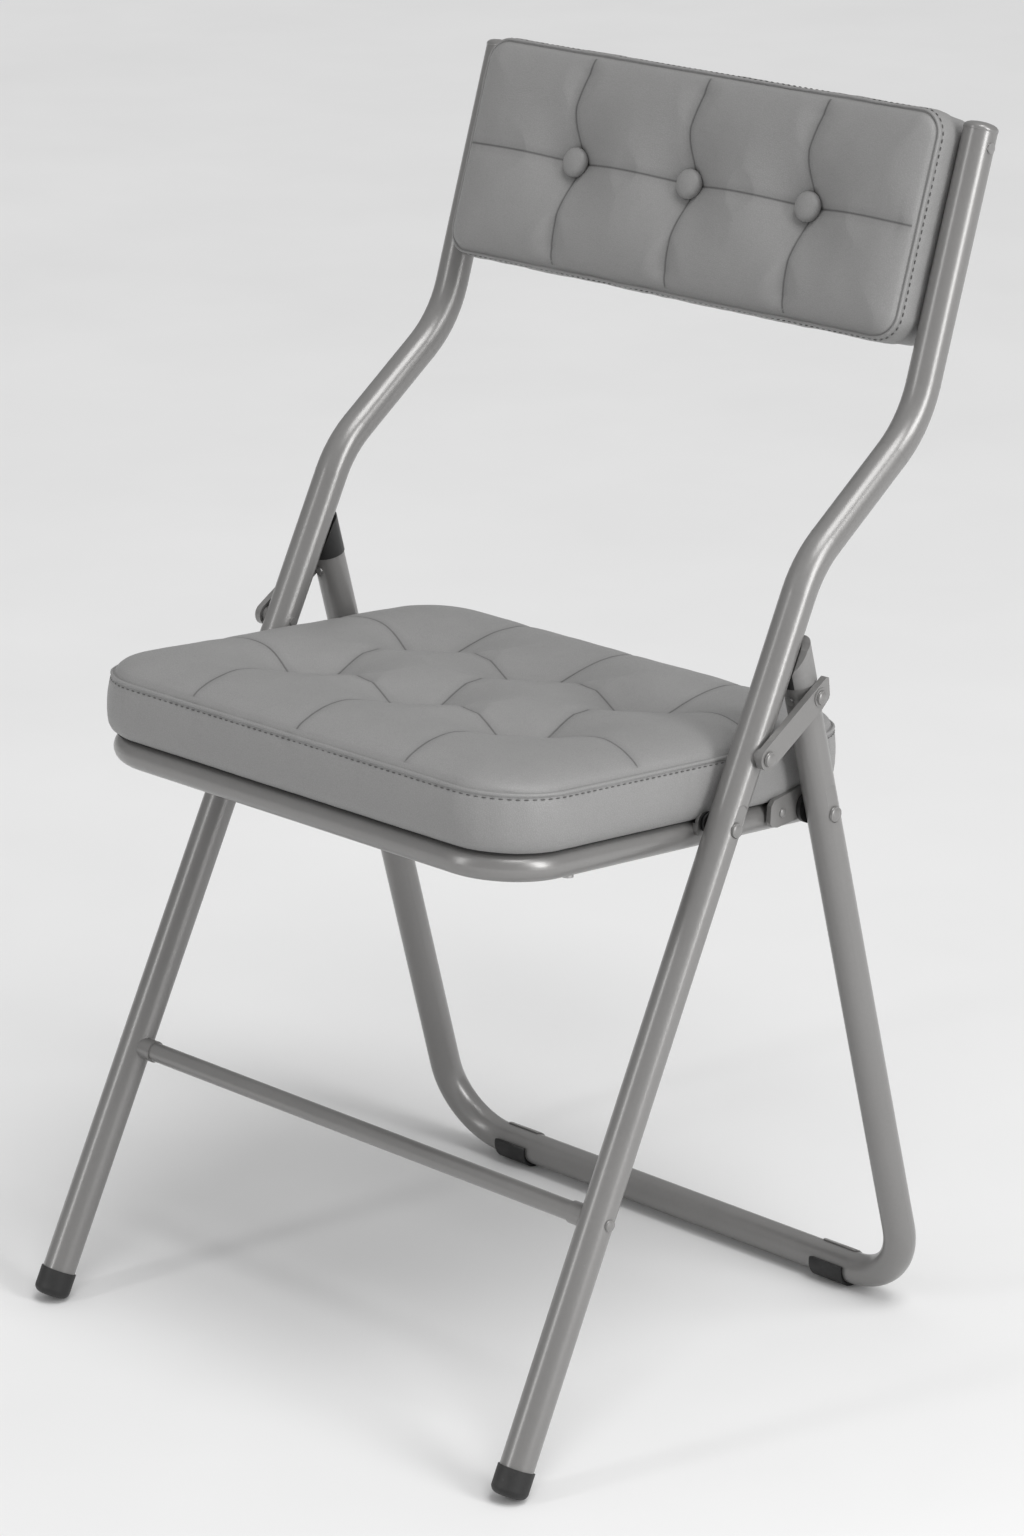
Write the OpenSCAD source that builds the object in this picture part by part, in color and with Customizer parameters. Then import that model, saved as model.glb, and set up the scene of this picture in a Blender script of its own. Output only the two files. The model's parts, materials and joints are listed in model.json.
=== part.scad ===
// Folding chair with a tufted seat and a buttoned back pad, on a bent steel tube frame.
// Z is up, Y runs to the back, X across; the origin is on the floor under the middle.

/* [Overall] */
// Distance between the centre lines of the two long posts at seat height
post_spacing = 421.2; // [360:0.1:500]
// How far each front foot spreads outward from the post above it
foot_splay = 6; // [1:0.5:14]
// Backward lean of the lower part of a post, from vertical
lower_lean = 27.87; // [25:0.01:30]
// Backward lean of the short part between the two bends of a post
middle_lean = 55.15; // [50:0.01:60]
// Backward lean of the top part of a post
upper_lean = 18.92; // [12:0.01:24]

/* [Posts] */
// Outside diameter of the post tube
post_d = 22.2; // [18:0.1:25]
// Wall thickness of every tube
tube_wall = 1.2; // [0.8:0.1:1.6]
// Length of the lower part of a post, foot to the corner of the first bend
lower_len = 605; // [590:1:640]
// Length of the short middle part, corner to corner
middle_len = 122; // [105:1:150]
// Length of the top part, corner of the second bend to the open end
upper_len = 192; // [170:1:240]
// Bend radius of the posts at the tube's centre line
post_bend_r = 80; // [60:1:90]
// Distance of the lower crossbar from the foot, along the post
crossbar_along = 178; // [120:1:230]
// Diameter of the lower crossbar
crossbar_d = 12.7; // [10:0.1:15]
// Outside diameter of the front foot cap
foot_d = 24.2; // [23:0.1:27]
// Length of the front foot cap
foot_h = 19; // [15:0.5:26]

/* [Seat] */
// Distance of the seat pivot from the foot, along the post
seat_pivot_along = 434; // [420:1:442]
// Backward slope of the seat
seat_tilt = 5.5; // [3:0.1:8]
// Gap between the seat cushion's side and the post tube
seat_side_gap = 3.5; // [3:0.5:12]
// Reach of the cushion in front of the seat pivot
seat_front = 174.5; // [150:0.5:210]
// Reach of the cushion behind the seat pivot
seat_back = 150; // [130:0.5:164]
// Corner radius of the cushion in plan
seat_corner_r = 50; // [40:1:75]
// Height of the cushion's top edge above the seat pivot, square to the seat
seat_edge_h = 39; // [30:0.5:48]
// Height of the padded top over its edge
seat_crown = 7; // [3:0.5:12]
// Diameter of the seat rail tube
rail_d = 19.1; // [16:0.1:20]
// Distance from the seat pivot down to the rail's centre line, square to the seat
rail_drop = 9.6; // [9:0.1:12]
// Overhang of the cushion past the rail tube
seat_overhang = 1.5; // [0.5:0.1:6]

/* [Rear leg] */
// Outside diameter of the rear leg tube
rear_d = 21.7; // [19:0.1:22.2]
// Forward lean of the rear leg from vertical
rear_lean = 14.06; // [13:0.01:15]
// Distance of the rear rail behind the front feet
rear_reach = 384.8; // [375:0.1:395]
// Bend radius at the lower corners of the rear leg
rear_bend_r = 50; // [35:1:60]
// Height of the rear leg's pivot over the rear rail, along the leg
rear_pivot_along = 372.5; // [370:0.5:375]
// Height of the link's pin over the rear rail, along the leg
link_pin_along = 459; // [457:0.5:461]
// Length of the rear leg, rail to the tube's open end
rear_len = 466.6; // [466:0.1:470]

/* [Link] */
// Distance between the seat pivot and the link's pivot, along the post
link_pivot_rise = 48; // [46:0.5:50]
// Width of the link plate
link_w = 15; // [13:0.5:17]
// Depth of the link's folded edge
link_depth = 4.8; // [3.5:0.1:6]

/* [Back pad] */
// Gap between the pad's side and the post tube
pad_side_gap = 2.2; // [1.5:0.1:12]
// Height of the pad along the posts
pad_h = 144; // [120:1:160]
// Rise of the pad's top edge over the ends of the posts
pad_rise = 0.4; // [0:0.1:6]
// Distance of the pad's front edge in front of the posts' centre line
pad_front = 24; // [16:0.5:30]
// Distance of the pad's rear face behind the posts' centre line
pad_rear = 22; // [14:0.5:26]
// Padded thickness in front of the pad's edge
pad_crown = 6; // [3:0.5:10]
// Corner radius of the pad
pad_corner_r = 16; // [8:1:26]
// Distance between neighbouring buttons
button_pitch = 103; // [80:1:120]
// Diameter of a covered button
button_d = 20; // [15:0.5:26]

/* [Hidden] */
$fn = 64;
post_x = post_spacing / 2;
post_r = post_d / 2;
rear_r = rear_d / 2;
rail_r = rail_d / 2;
foot_r = foot_d / 2;
foot_round = 5;
run_gap = 0.05;
pin_r = 3;
clip_t = 2.5;
foot_z = (foot_r - foot_round) * sin(lower_lean) + foot_round * (1 - cos(lower_lean));
splay_angle = atan(foot_splay / lower_len);
plane_angle = middle_lean - lower_lean;
low_angle = acos(cos(plane_angle) * cos(splay_angle));
low_turn = atan2(sin(splay_angle), sin(plane_angle) * cos(splay_angle));
high_angle = middle_lean - upper_lean;
low_tan = post_bend_r * tan(low_angle / 2);
high_tan = post_bend_r * tan(high_angle / 2);
corner_1 = [lower_len * sin(lower_lean), foot_z + lower_len * cos(lower_lean)];
corner_2 = [corner_1[0] + middle_len * sin(middle_lean), corner_1[1] + middle_len * cos(middle_lean)];
post_top = [corner_2[0] + upper_len * sin(upper_lean), corner_2[1] + upper_len * cos(upper_lean)];
y_low = foot_round * (sin(lower_lean) - 1) - (foot_r - foot_round) * cos(lower_lean);
y_high = post_top[0] + pad_rise * sin(upper_lean) + pad_rear * cos(upper_lean);
y_mid = (y_low + y_high) / 2;
// Seat pivot, link pivot, rear leg pivot and link pin, as [back, up]
seat_pivot = [seat_pivot_along * sin(lower_lean), foot_z + seat_pivot_along * cos(lower_lean)];
link_along = seat_pivot_along + link_pivot_rise;
link_pivot = [link_along * sin(lower_lean), foot_z + link_along * cos(lower_lean)];
rear_rail = [rear_reach, rear_r + clip_t];
rear_pivot = [rear_rail[0] - rear_pivot_along * sin(rear_lean),
              rear_rail[1] + rear_pivot_along * cos(rear_lean)];
link_pin = [rear_rail[0] - link_pin_along * sin(rear_lean),
            rear_rail[1] + link_pin_along * cos(rear_lean)];
post_x_seat = post_x + foot_splay * (lower_len - seat_pivot_along) / lower_len;
post_x_link = post_x + foot_splay * (lower_len - link_along) / lower_len;
post_x_bar = post_x + foot_splay * (lower_len - crossbar_along) / lower_len;
rear_x = post_x + 2.9;
cap_r = rear_r + 0.55;
seat_half = post_x - post_r - seat_side_gap;
rail_x = seat_half - seat_overhang - rail_r;
board_t = 2;
board_h = rail_r - rail_drop;
ear_t = 2.5;
ear_out = rail_x + rail_r + ear_t;
link_in = rear_x + cap_r + 0.5;
link_web = 1.6;
link_out = link_in + link_depth;
link_len = norm(link_pin - link_pivot);
link_angle = atan2(link_pin[1] - link_pivot[1], link_pin[0] - link_pivot[0]);
// Rear leg pivot seen from the seat pivot, along the seat and square to it
rp_d = rear_pivot - seat_pivot;
rp_s = rp_d[0] * cos(seat_tilt) - rp_d[1] * sin(seat_tilt);
rp_h = rp_d[0] * sin(seat_tilt) + rp_d[1] * cos(seat_tilt);
bracket_in = seat_half + 2;
bracket_out = seat_half + 4;
flat_depth = 0.9;
pad_half = post_x - post_r - pad_side_gap;
button_seat = pad_front - 6;
paint = "#9b9994";
dark = "#1c1c1c";
hide = "#8d8d8d";
steel = "#b5b5b2";

// ---- shared shapes ----

// Shape moved from the chair's own layout to the row's origin
module placed() {
    translate([0, -y_mid, 0])
        children();
}

// A cylinder across the chair between two X positions at [back, up]
module across(at, x0, x1, r) {
    translate([x0, at[0], at[1]])
        rotate([0, 90, 0])
            cylinder(h = x1 - x0, r = r);
}

// A bent piece of bar that starts upward at the origin and turns toward +Y
module bend(radius, r, angle) {
    translate([0, radius, 0])
        rotate([90, 0, -90])
            rotate_extrude(angle = angle)
                translate([radius, 0])
                    circle(r = r);
}

// Flat plate with four round corners, centred across, from y0 to y1, thickness upward
module plate(half_w, y0, y1, r, t) {
    linear_extrude(height = t)
        union() {
            translate([-half_w, y0 + r])
                square([2 * half_w, y1 - y0 - 2 * r]);
            translate([-half_w + r, y0])
                square([2 * half_w - 2 * r, y1 - y0]);
            for (sx = [-1, 1])
                for (ky = [y0 + r, y1 - r])
                    translate([sx * (half_w - r), ky])
                        circle(r = r);
        }
}

// Frame of the seat: origin at the seat pivot, Y along the seat, Z square to it
module on_seat() {
    translate([0, seat_pivot[0], seat_pivot[1]])
        rotate([-seat_tilt, 0, 0])
            children();
}

// Frame of the rear leg: origin at the rear rail, Z up along the leg
module on_rear_leg() {
    translate([0, rear_rail[0], rear_rail[1]])
        rotate([rear_lean, 0, 0])
            children();
}

// Frame of the back pad: origin between the ends of the posts, Z along the posts
module on_back() {
    translate([0, post_top[0], post_top[1]])
        rotate([-upper_lean, 0, 0])
            children();
}

// Frame at the first bend of the right post: origin at the corner, Z down the middle part,
// turned so that the foot lies toward +Y
module on_first_bend() {
    translate([post_x, corner_1[0], corner_1[1]])
        rotate([-middle_lean, 0, 0])
            mirror([0, 0, 1])
                rotate([0, 0, -low_turn])
                    children();
}

// Thin band round a bar that covers the seam between two pieces of its path
module seam(r) {
    translate([0, 0, -0.6])
        cylinder(h = 1.2, r = r + 0.06);
}

// Straight lower part of the right post as a bar; extra lengthens the foot end
module post_lower(r, extra) {
    on_first_bend()
        rotate([-low_angle, 0, 0])
            translate([0, 0, low_tan])
                cylinder(h = lower_len / cos(splay_angle) - low_tan + extra, r = r);
}

// Whole centre path of the right post as a bar; extra lengthens both ends
module post_bar(r, extra) {
    post_lower(r, extra);
    on_first_bend() {
        translate([0, 0, -low_tan])
            bend(post_bend_r, r, low_angle);
        translate([0, 0, -low_tan])
            seam(r);
        rotate([-low_angle, 0, 0])
            translate([0, 0, low_tan])
                seam(r);
    }
    translate([post_x, corner_1[0], corner_1[1]])
        rotate([-middle_lean, 0, 0])
            translate([0, 0, low_tan])
                cylinder(h = middle_len - low_tan - high_tan, r = r);
    translate([post_x, corner_2[0], corner_2[1]]) {
        rotate([-middle_lean, 0, 0])
            translate([0, 0, -high_tan]) {
                seam(r);
                mirror([0, 1, 0])
                    bend(post_bend_r, r, high_angle);
            }
        rotate([-upper_lean, 0, 0])
            translate([0, 0, high_tan]) {
                seam(r);
                cylinder(h = upper_len - high_tan + extra, r = r);
            }
    }
}

// Frame at the lower end of the right post, Z up along the post
module on_foot() {
    on_first_bend()
        rotate([-low_angle, 0, 0])
            translate([0, 0, lower_len / cos(splay_angle)])
                mirror([0, 0, 1])
                    children();
}

// ---- front frame ----

// Bent post tube with its pin holes and the pressed flat round the seat pivot
module post() {
    color(paint)
        difference() {
            post_bar(post_r, -4);
            post_bar(post_r - tube_wall, 4);
            across(seat_pivot, post_x_seat - 20, post_x_seat + 20, pin_r + run_gap);
            across(link_pivot, post_x_link - 20, post_x_link + 20, pin_r + run_gap);
            across([crossbar_along * sin(lower_lean), foot_z + crossbar_along * cos(lower_lean)],
                post_x_bar - 20, post_x_bar + 20, 2.5 + run_gap);
            on_back()
                translate([post_x - 20, 0, -14])
                    rotate([0, 90, 0])
                        cylinder(h = 40, r = 2 + run_gap);
            translate([post_x_seat + post_r - flat_depth, seat_pivot[0], seat_pivot[1]])
                rotate([-lower_lean, 0, 0]) {
                    rotate([0, 90, 0])
                        cylinder(h = 4, r = 5.2);
                    translate([0, -5.2, 0])
                        cube([4, 10.4, 11]);
                    translate([0, 0, 11])
                        rotate([0, 90, 0])
                            cylinder(h = 4, r = 5.2);
                }
        }
}

// Press-in plug with a flat head that closes the top of a post
module post_plug() {
    color(steel)
        translate([post_x, 0, 0])
            on_back()
                translate([0, 0, -4]) {
                    cylinder(h = 2.6, r = post_r + 0.2);
                    translate([0, 0, 2.6])
                        cylinder(h = 1.4, r = post_r - 1.4);
                    translate([0, 0, -5])
                        cylinder(h = 5, r = post_r - tube_wall - run_gap);
                }
}

// Rubber foot cap, round at the bottom edge
module front_foot() {
    color(dark)
        on_foot()
            difference() {
                rotate_extrude()
                    union() {
                        square([foot_r - foot_round, foot_h]);
                        translate([0, foot_round])
                            square([foot_r, foot_h - foot_round - 1]);
                        translate([0, foot_round])
                            square([foot_r - 1, foot_h - foot_round]);
                        translate([foot_r - foot_round, foot_round])
                            circle(r = foot_round);
                    }
                translate([0, 0, 4])
                    cylinder(h = foot_h, r = post_r + run_gap);
            }
}

// Lower crossbar between the posts, with a collar at each end
module crossbar() {
    at = [crossbar_along * sin(lower_lean), foot_z + crossbar_along * cos(lower_lean)];
    color(paint)
        difference() {
            union() {
                across(at, -post_x_bar + 2, post_x_bar - 2, crossbar_d / 2);
                across(at, -post_x_bar + 2, -post_x_bar + post_r + 9, crossbar_d / 2 + 1);
                across(at, post_x_bar - post_r - 9, post_x_bar - 2, crossbar_d / 2 + 1);
            }
            post_lower(post_r, 0);
            mirror([1, 0, 0])
                post_lower(post_r, 0);
            across(at, -post_x_bar + post_r + 20, post_x_bar - post_r - 20, crossbar_d / 2 - tube_wall);
            across(at, -post_x_bar - 5, post_x_bar + 5, 2.5 + run_gap);
        }
}

// Rivet that holds each end of the crossbar
module crossbar_rivets() {
    at = [crossbar_along * sin(lower_lean), foot_z + crossbar_along * cos(lower_lean)];
    color(steel)
        for (side = [0, 1])
            mirror([side, 0, 0]) {
                across(at, post_x_bar - post_r - 14, post_x_bar + post_r + 0.8, 2.5);
                difference() {
                    across(at, post_x_bar + post_r - 0.5, post_x_bar + post_r + 1.2, 3.6);
                    post_lower(post_r + 0.02, 0);
                }
            }
}

// Pin that carries the seat on each post, flush inside the ear of the seat rail
module seat_pivot_rivets() {
    head_x = post_x_seat + post_r - flat_depth;
    color(steel)
        for (side = [0, 1])
            mirror([side, 0, 0]) {
                across(seat_pivot, ear_out - ear_t + 0.1, head_x + 1, pin_r);
                across(seat_pivot, head_x, head_x + 1.8, 4.6);
            }
}

// Washer, sleeve and washer between the post and the ear of the seat rail
module pivot_bushes() {
    x0 = ear_out + 0.2;
    x1 = post_x_seat - post_r;
    color(dark)
        for (side = [0, 1])
            mirror([side, 0, 0])
                difference() {
                    union() {
                        across(seat_pivot, x0, x0 + 1.2, 6.5);
                        across(seat_pivot, x0, x1 + 0.4, 4.2);
                        across(seat_pivot, x1 - 1.2, x1 + 0.2, 6.5);
                    }
                    across(seat_pivot, x0 - 1, x1 + 2, pin_r + run_gap);
                    post_lower(post_r + 0.02, 0);
                }
}

// Pin that carries the link on each post, with its boss and round head
module link_front_rivets() {
    color(steel)
        for (side = [0, 1])
            mirror([side, 0, 0]) {
                across(link_pivot, post_x_link - post_r - 1.5, link_out + 1, pin_r);
                across(link_pivot, link_out + 0.1, link_out + 1.9, 4.6);
                difference() {
                    across(link_pivot, post_x_link + 5, link_out - link_web - 0.1, 5.4);
                    post_lower(post_r + 0.02, 0);
                }
            }
}

// ---- back ----

// Padded front half of the back
module back_cushion() {
    color(hide)
        on_back()
            translate([0, -5, 0])
                rotate([90, 0, 0])
                    difference() {
                        union() {
                            plate(pad_half, pad_rise - pad_h, pad_rise, pad_corner_r, pad_front - 5);
                            plate(pad_half - 9, pad_rise - pad_h + 9, pad_rise - 9,
                                pad_corner_r - 5, pad_front - 5 + pad_crown);
                        }
                        for (k = [-1, 0, 1])
                            translate([k * button_pitch, pad_rise - pad_h / 2, button_seat - 5])
                                cylinder(h = 30, r = button_d / 2 + 3);
                    }
}

// Stiff board inside the back pad
module back_board() {
    color("#b08d5b")
        on_back()
            difference() {
                translate([0, 5, 0])
                    rotate([90, 0, 0])
                        plate(pad_half - 3.5, pad_rise - pad_h + 3.5, pad_rise - 3.5,
                            pad_corner_r - 5, 10);
                translate([-post_x, 0, -14])
                    rotate([0, 90, 0])
                        cylinder(h = 2 * post_x, r = 2 + run_gap);
            }
}

// Covered rear half of the back pad
module back_cover() {
    color(hide)
        on_back()
            translate([0, pad_rear, 0])
                rotate([90, 0, 0])
                    plate(pad_half, pad_rise - pad_h, pad_rise, pad_corner_r, pad_rear - 5);
}

// Covered buttons on the front of the back pad
module back_buttons() {
    color(hide)
        on_back()
            for (k = [-1, 0, 1])
                translate([k * button_pitch, -button_seat, pad_rise - pad_h / 2])
                    rotate([90, 0, 0]) {
                        cylinder(h = 2, r = button_d / 2);
                        translate([0, 0, 2])
                            cylinder(h = 1.4, r = button_d / 2 - 2.6);
                    }
}

// Screw through each post into the board of the back pad
module back_screws() {
    color(steel)
        on_back()
            for (side = [0, 1])
                mirror([side, 0, 0])
                    translate([0, 0, -14]) {
                        translate([pad_half - 20, 0, 0])
                            rotate([0, 90, 0])
                                cylinder(h = post_x + post_r + 0.4 - pad_half + 20, r = 2);
                        difference() {
                            translate([post_x + post_r - 0.6, 0, 0])
                                rotate([0, 90, 0])
                                    cylinder(h = 1.4, r = 3.4);
                            translate([post_x, 0, -20])
                                cylinder(h = 40, r = post_r + 0.02);
                        }
                    }
}

// Welded tab on each post that steadies the lower edge of the back pad
module back_tabs() {
    color(paint)
        on_back()
            for (side = [0, 1])
                mirror([side, 0, 0])
                    difference() {
                        translate([pad_half - 3.5, -4, pad_rise - pad_h + 12])
                            cube([pad_side_gap + 3.5 + 4, 8, 18]);
                        translate([post_x, 0, pad_rise - pad_h])
                            cylinder(h = 40, r = post_r);
                    }
}

// ---- seat ----

// Centre path of the seat rail as a bar, open at the back
module rail_bar(r, extra) {
    corner = seat_corner_r - 8;
    front = -seat_front + seat_overhang + rail_r;
    rear = seat_back - 34;
    translate([0, 0, -rail_drop]) {
        for (side = [0, 1])
            mirror([side, 0, 0]) {
                translate([rail_x, front + corner, 0])
                    rotate([-90, 0, 0])
                        cylinder(h = rear - front - corner + extra, r = r);
                translate([rail_x - corner, front + corner, 0])
                    rotate([0, 0, -90])
                        rotate_extrude(angle = 90)
                            translate([corner, 0])
                                circle(r = r);
            }
        translate([-rail_x + corner, front, 0])
            rotate([0, 90, 0])
                cylinder(h = 2 * rail_x - 2 * corner, r = r);
    }
}

// Straight bar along one arm of the seat rail, between two places behind the pivot
module rail_arm(r, y0, y1) {
    translate([rail_x, y0, -rail_drop])
        rotate([-90, 0, 0])
            cylinder(h = y1 - y0, r = r);
}

// Bent tube under the seat with holes for its pins and screws
module seat_frame() {
    color(paint)
        on_seat()
            difference() {
                rail_bar(rail_r, 0);
                rail_bar(rail_r - tube_wall, 2);
                for (side = [0, 1])
                    mirror([side, 0, 0]) {
                        translate([rail_x - 20, rp_s, rp_h])
                            rotate([0, 90, 0])
                                cylinder(h = 40, r = pin_r + run_gap);
                        translate([rail_x, rp_s - 23, -5.1])
                            rotate([0, 90, 0])
                                cylinder(h = 40, r = 1.8 + run_gap);
                        for (y = [-110, 35])
                            translate([rail_x, y, -rail_drop - 20])
                                cylinder(h = 40, r = 2 + run_gap);
                    }
            }
}

// Welded ear on each arm of the seat rail that the seat turns on
module seat_ear() {
    x0 = rail_x + rail_r - 2;
    color(paint)
        on_seat()
            difference() {
                union() {
                    translate([x0, 0, 0])
                        rotate([0, 90, 0])
                            cylinder(h = ear_t + 2, r = 6.8);
                    translate([x0, 0, 0])
                        rotate([90, 0, 90])
                            linear_extrude(height = ear_t + 2)
                                polygon([[-6, 1], [6, 1], [7.5, -6], [6, 1 - rail_drop],
                                    [-6, 1 - rail_drop], [-7.5, -6]]);
                }
                rail_arm(rail_r, -20, 20);
                translate([rail_x, -20, board_h - 1])
                    cube([ear_out - ear_t - rail_x, 40, 20]);
                translate([rail_x, 0, 0])
                    rotate([0, 90, 0])
                        cylinder(h = 40, r = pin_r + run_gap);
            }
}

// Tube that ties the two arms of the seat rail together at the back
module seat_brace() {
    y = rp_s - 46;
    color(paint)
        on_seat()
            difference() {
                translate([-rail_x, y, -rail_drop])
                    rotate([0, 90, 0])
                        cylinder(h = 2 * rail_x, r = 6.35);
                translate([-rail_x + 14, y, -rail_drop])
                    rotate([0, 90, 0])
                        cylinder(h = 2 * rail_x - 28, r = 6.35 - tube_wall);
                rail_arm(rail_r, y - 20, y + 20);
                mirror([1, 0, 0])
                    rail_arm(rail_r, y - 20, y + 20);
            }
}

// Plastic plugs in the open rear ends of the seat rail
module rail_plugs() {
    color(dark)
        on_seat()
            for (side = [0, 1])
                mirror([side, 0, 0])
                    translate([rail_x, seat_back - 34, -rail_drop])
                        rotate([90, 0, 0]) {
                            translate([0, 0, -2])
                                cylinder(h = 2, r = rail_r);
                            cylinder(h = 8, r = rail_r - tube_wall - run_gap);
                        }
}

// Flat board the seat cushion is built on
module seat_board() {
    color("#b08d5b")
        on_seat()
            difference() {
                translate([0, 0, board_h])
                    plate(seat_half - 4, -seat_front + 4, seat_back - 4, seat_corner_r - 4, board_t);
                for (side = [0, 1])
                    mirror([side, 0, 0])
                        for (y = [-110, 35])
                            translate([rail_x, y, -rail_drop])
                                cylinder(h = 30, r = 2 + run_gap);
            }
}

// Seat cushion, a block with a lower step for its padded top
module seat_cushion() {
    h1 = board_h + board_t;
    color(hide)
        on_seat()
            difference() {
                union() {
                    translate([0, 0, h1])
                        plate(seat_half, -seat_front, seat_back, seat_corner_r, seat_edge_h - h1);
                    translate([0, 0, seat_edge_h - 2])
                        plate(seat_half - 12, -seat_front + 12, seat_back - 12, seat_corner_r - 12,
                            seat_crown + 2);
                }
                for (side = [0, 1])
                    mirror([side, 0, 0])
                        translate([ear_out - ear_t - 0.3, 0, 0])
                            rotate([0, 90, 0])
                                cylinder(h = 20, r = 8.6);
            }
}

// Screws that hold the board down on the rail
module seat_screws() {
    color(steel)
        on_seat()
            for (side = [0, 1])
                mirror([side, 0, 0])
                    for (y = [-110, 35]) {
                        translate([rail_x, y, -rail_drop - rail_r - 0.5])
                            cylinder(h = 2 * rail_r + 0.5 + board_t - 0.3, r = 2);
                        difference() {
                            translate([rail_x, y, -rail_drop - rail_r - 1])
                                cylinder(h = 2, r = 4);
                            rail_arm(rail_r + 0.02, y - 10, y + 10);
                        }
                    }
}

// Outline of the pressed bracket, in from its edge by m
module bracket_outline(m) {
    polygon([[rp_s - 34 + m, 0.5], [rp_s - 31.5 + m, 4 - m], [rp_s - 4, 10.5 - m],
        [rp_s + 8 - m * 0.6, 8 - m], [rp_s + 13 - m, 0], [rp_s + 11 - m, -8],
        [rp_s + 4, -13 + m], [rp_s - 6, -11 + m], [rp_s - 27, -14.2 + m],
        [rp_s - 32 + m, -13.2 + m], [rp_s - 34 + m, -10.5]]);
}

// Pressed bracket on the seat rail that the rear leg hangs from
module seat_bracket() {
    color(paint)
        on_seat()
            difference() {
                union() {
                    difference() {
                        translate([bracket_out, 0, 0])
                            rotate([0, -90, 0])
                                rotate([0, 0, -90])
                                    mirror([1, 0, 0])
                                        linear_extrude(height = 3.6)
                                            bracket_outline(0);
                        translate([bracket_in + 0.4, 0, 0])
                            rotate([0, -90, 0])
                                rotate([0, 0, -90])
                                    mirror([1, 0, 0])
                                        linear_extrude(height = 3.6)
                                            bracket_outline(1.6);
                    }
                    difference() {
                        translate([rail_x + 5, rp_s - 23, -5.1])
                            rotate([0, 90, 0])
                                cylinder(h = bracket_in + 0.8 - rail_x - 5, r = 4.6);
                        rail_arm(rail_r, rp_s - 40, rp_s);
                    }
                }
                translate([rail_x, rp_s - 23, -5.1])
                    rotate([0, 90, 0])
                        cylinder(h = 40, r = 1.8 + run_gap);
                translate([rail_x, rp_s, rp_h])
                    rotate([0, 90, 0])
                        cylinder(h = 40, r = pin_r + run_gap);
            }
}

// Small rivets that hold the brackets on the rail
module bracket_rivets() {
    color(steel)
        on_seat()
            for (side = [0, 1])
                mirror([side, 0, 0])
                    translate([0, rp_s - 23, -5.1])
                        rotate([0, 90, 0]) {
                            translate([0, 0, rail_x])
                                cylinder(h = bracket_out - rail_x + 0.4, r = 1.8);
                            translate([0, 0, bracket_out])
                                cylinder(h = 0.8, r = 2.8);
                        }
}

// ---- rear leg ----

// Centre path of the rear leg as a bar: two arms and the rail on the floor
module rear_bar(r, extra) {
    for (side = [0, 1])
        mirror([side, 0, 0]) {
            translate([rear_x, 0, rear_bend_r])
                cylinder(h = rear_len - rear_bend_r + extra, r = r);
            translate([rear_x - rear_bend_r, 0, rear_bend_r])
                rotate([90, 0, 0])
                    rotate([0, 0, -90])
                        rotate_extrude(angle = 90)
                            translate([rear_bend_r, 0])
                                circle(r = r);
        }
    translate([-rear_x + rear_bend_r, 0, 0])
        rotate([0, 90, 0])
            cylinder(h = 2 * rear_x - 2 * rear_bend_r, r = r);
}

// Bent tube that forms both rear legs and the rail on the floor
module rear_leg() {
    color(paint)
        on_rear_leg()
            difference() {
                rear_bar(rear_r, 0);
                rear_bar(rear_r - tube_wall, 2);
                for (side = [0, 1])
                    mirror([side, 0, 0]) {
                        translate([rear_x - 20, 0, rear_pivot_along])
                            rotate([0, 90, 0])
                                cylinder(h = 40, r = pin_r + run_gap);
                        translate([rear_x + rear_r - flat_depth, 0, rear_pivot_along]) {
                            rotate([0, 90, 0])
                                cylinder(h = 4, r = 5.6);
                            translate([0, -5.6, 0])
                                cube([4, 11.2, 15]);
                            translate([0, 0, 15])
                                rotate([0, 90, 0])
                                    cylinder(h = 4, r = 5.6);
                        }
                        translate([rear_x, -20, rear_len - 9])
                            rotate([-90, 0, 0])
                                cylinder(h = 20, r = 1.6 + run_gap);
                    }
            }
}

// Solid of the wedge that closes the top of a rear leg and rests behind the post
module cap_solid() {
    gap = 0.9;
    top = rear_len + 31;
    difference() {
        intersection() {
            on_rear_leg()
                translate([rear_x, 0, rear_len])
                    cylinder(h = 40, r = cap_r);
            translate([rear_x - 20, 0, 0])
                rotate([90, 0, 90])
                    linear_extrude(height = 40)
                        union() {
                            edge_y = (post_r + gap) / cos(lower_lean);
                            z0 = rear_rail[1] + rear_len * cos(rear_lean) - 14;
                            z1 = rear_rail[1] + top * cos(rear_lean) - 5;
                            y0 = (z0 - foot_z) * tan(lower_lean) + edge_y;
                            y1 = (z1 - foot_z) * tan(lower_lean) + edge_y;
                            polygon([[y0 - 5, z0], [y1 - 5, z1 - 2], [y1, z1 + 2], [y1 + 4.6, z1 + 4.2],
                                [y1 + 8, z1 + 3.6], [y1 + 12.4, z1], [y1 + 20, z1 - 29], [y1 + 20, z0]]);
                        }
        }
        post_lower(post_r + gap, 0);
    }
}

// Half of the leg's top that the plastic cap takes, as a block
module cap_half(grow) {
    on_rear_leg()
        translate([rear_x, 0, rear_len - 5])
            rotate([0, 0, 26])
                translate([-60 + grow, -40, -20])
                    cube([60, 80, 90]);
}

// Dark plastic end cap with a stem inside the tube
module rear_cap() {
    color(dark)
        union() {
            intersection() {
                cap_solid();
                cap_half(0);
            }
            on_rear_leg()
                translate([rear_x, 0, rear_len - 6])
                    cylinder(h = 6, r = rear_r - tube_wall - run_gap);
        }
}

// Pressed cover over the outer side of the end cap
module cap_cover() {
    color(paint)
        difference() {
            cap_solid();
            cap_half(0);
        }
}

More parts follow.
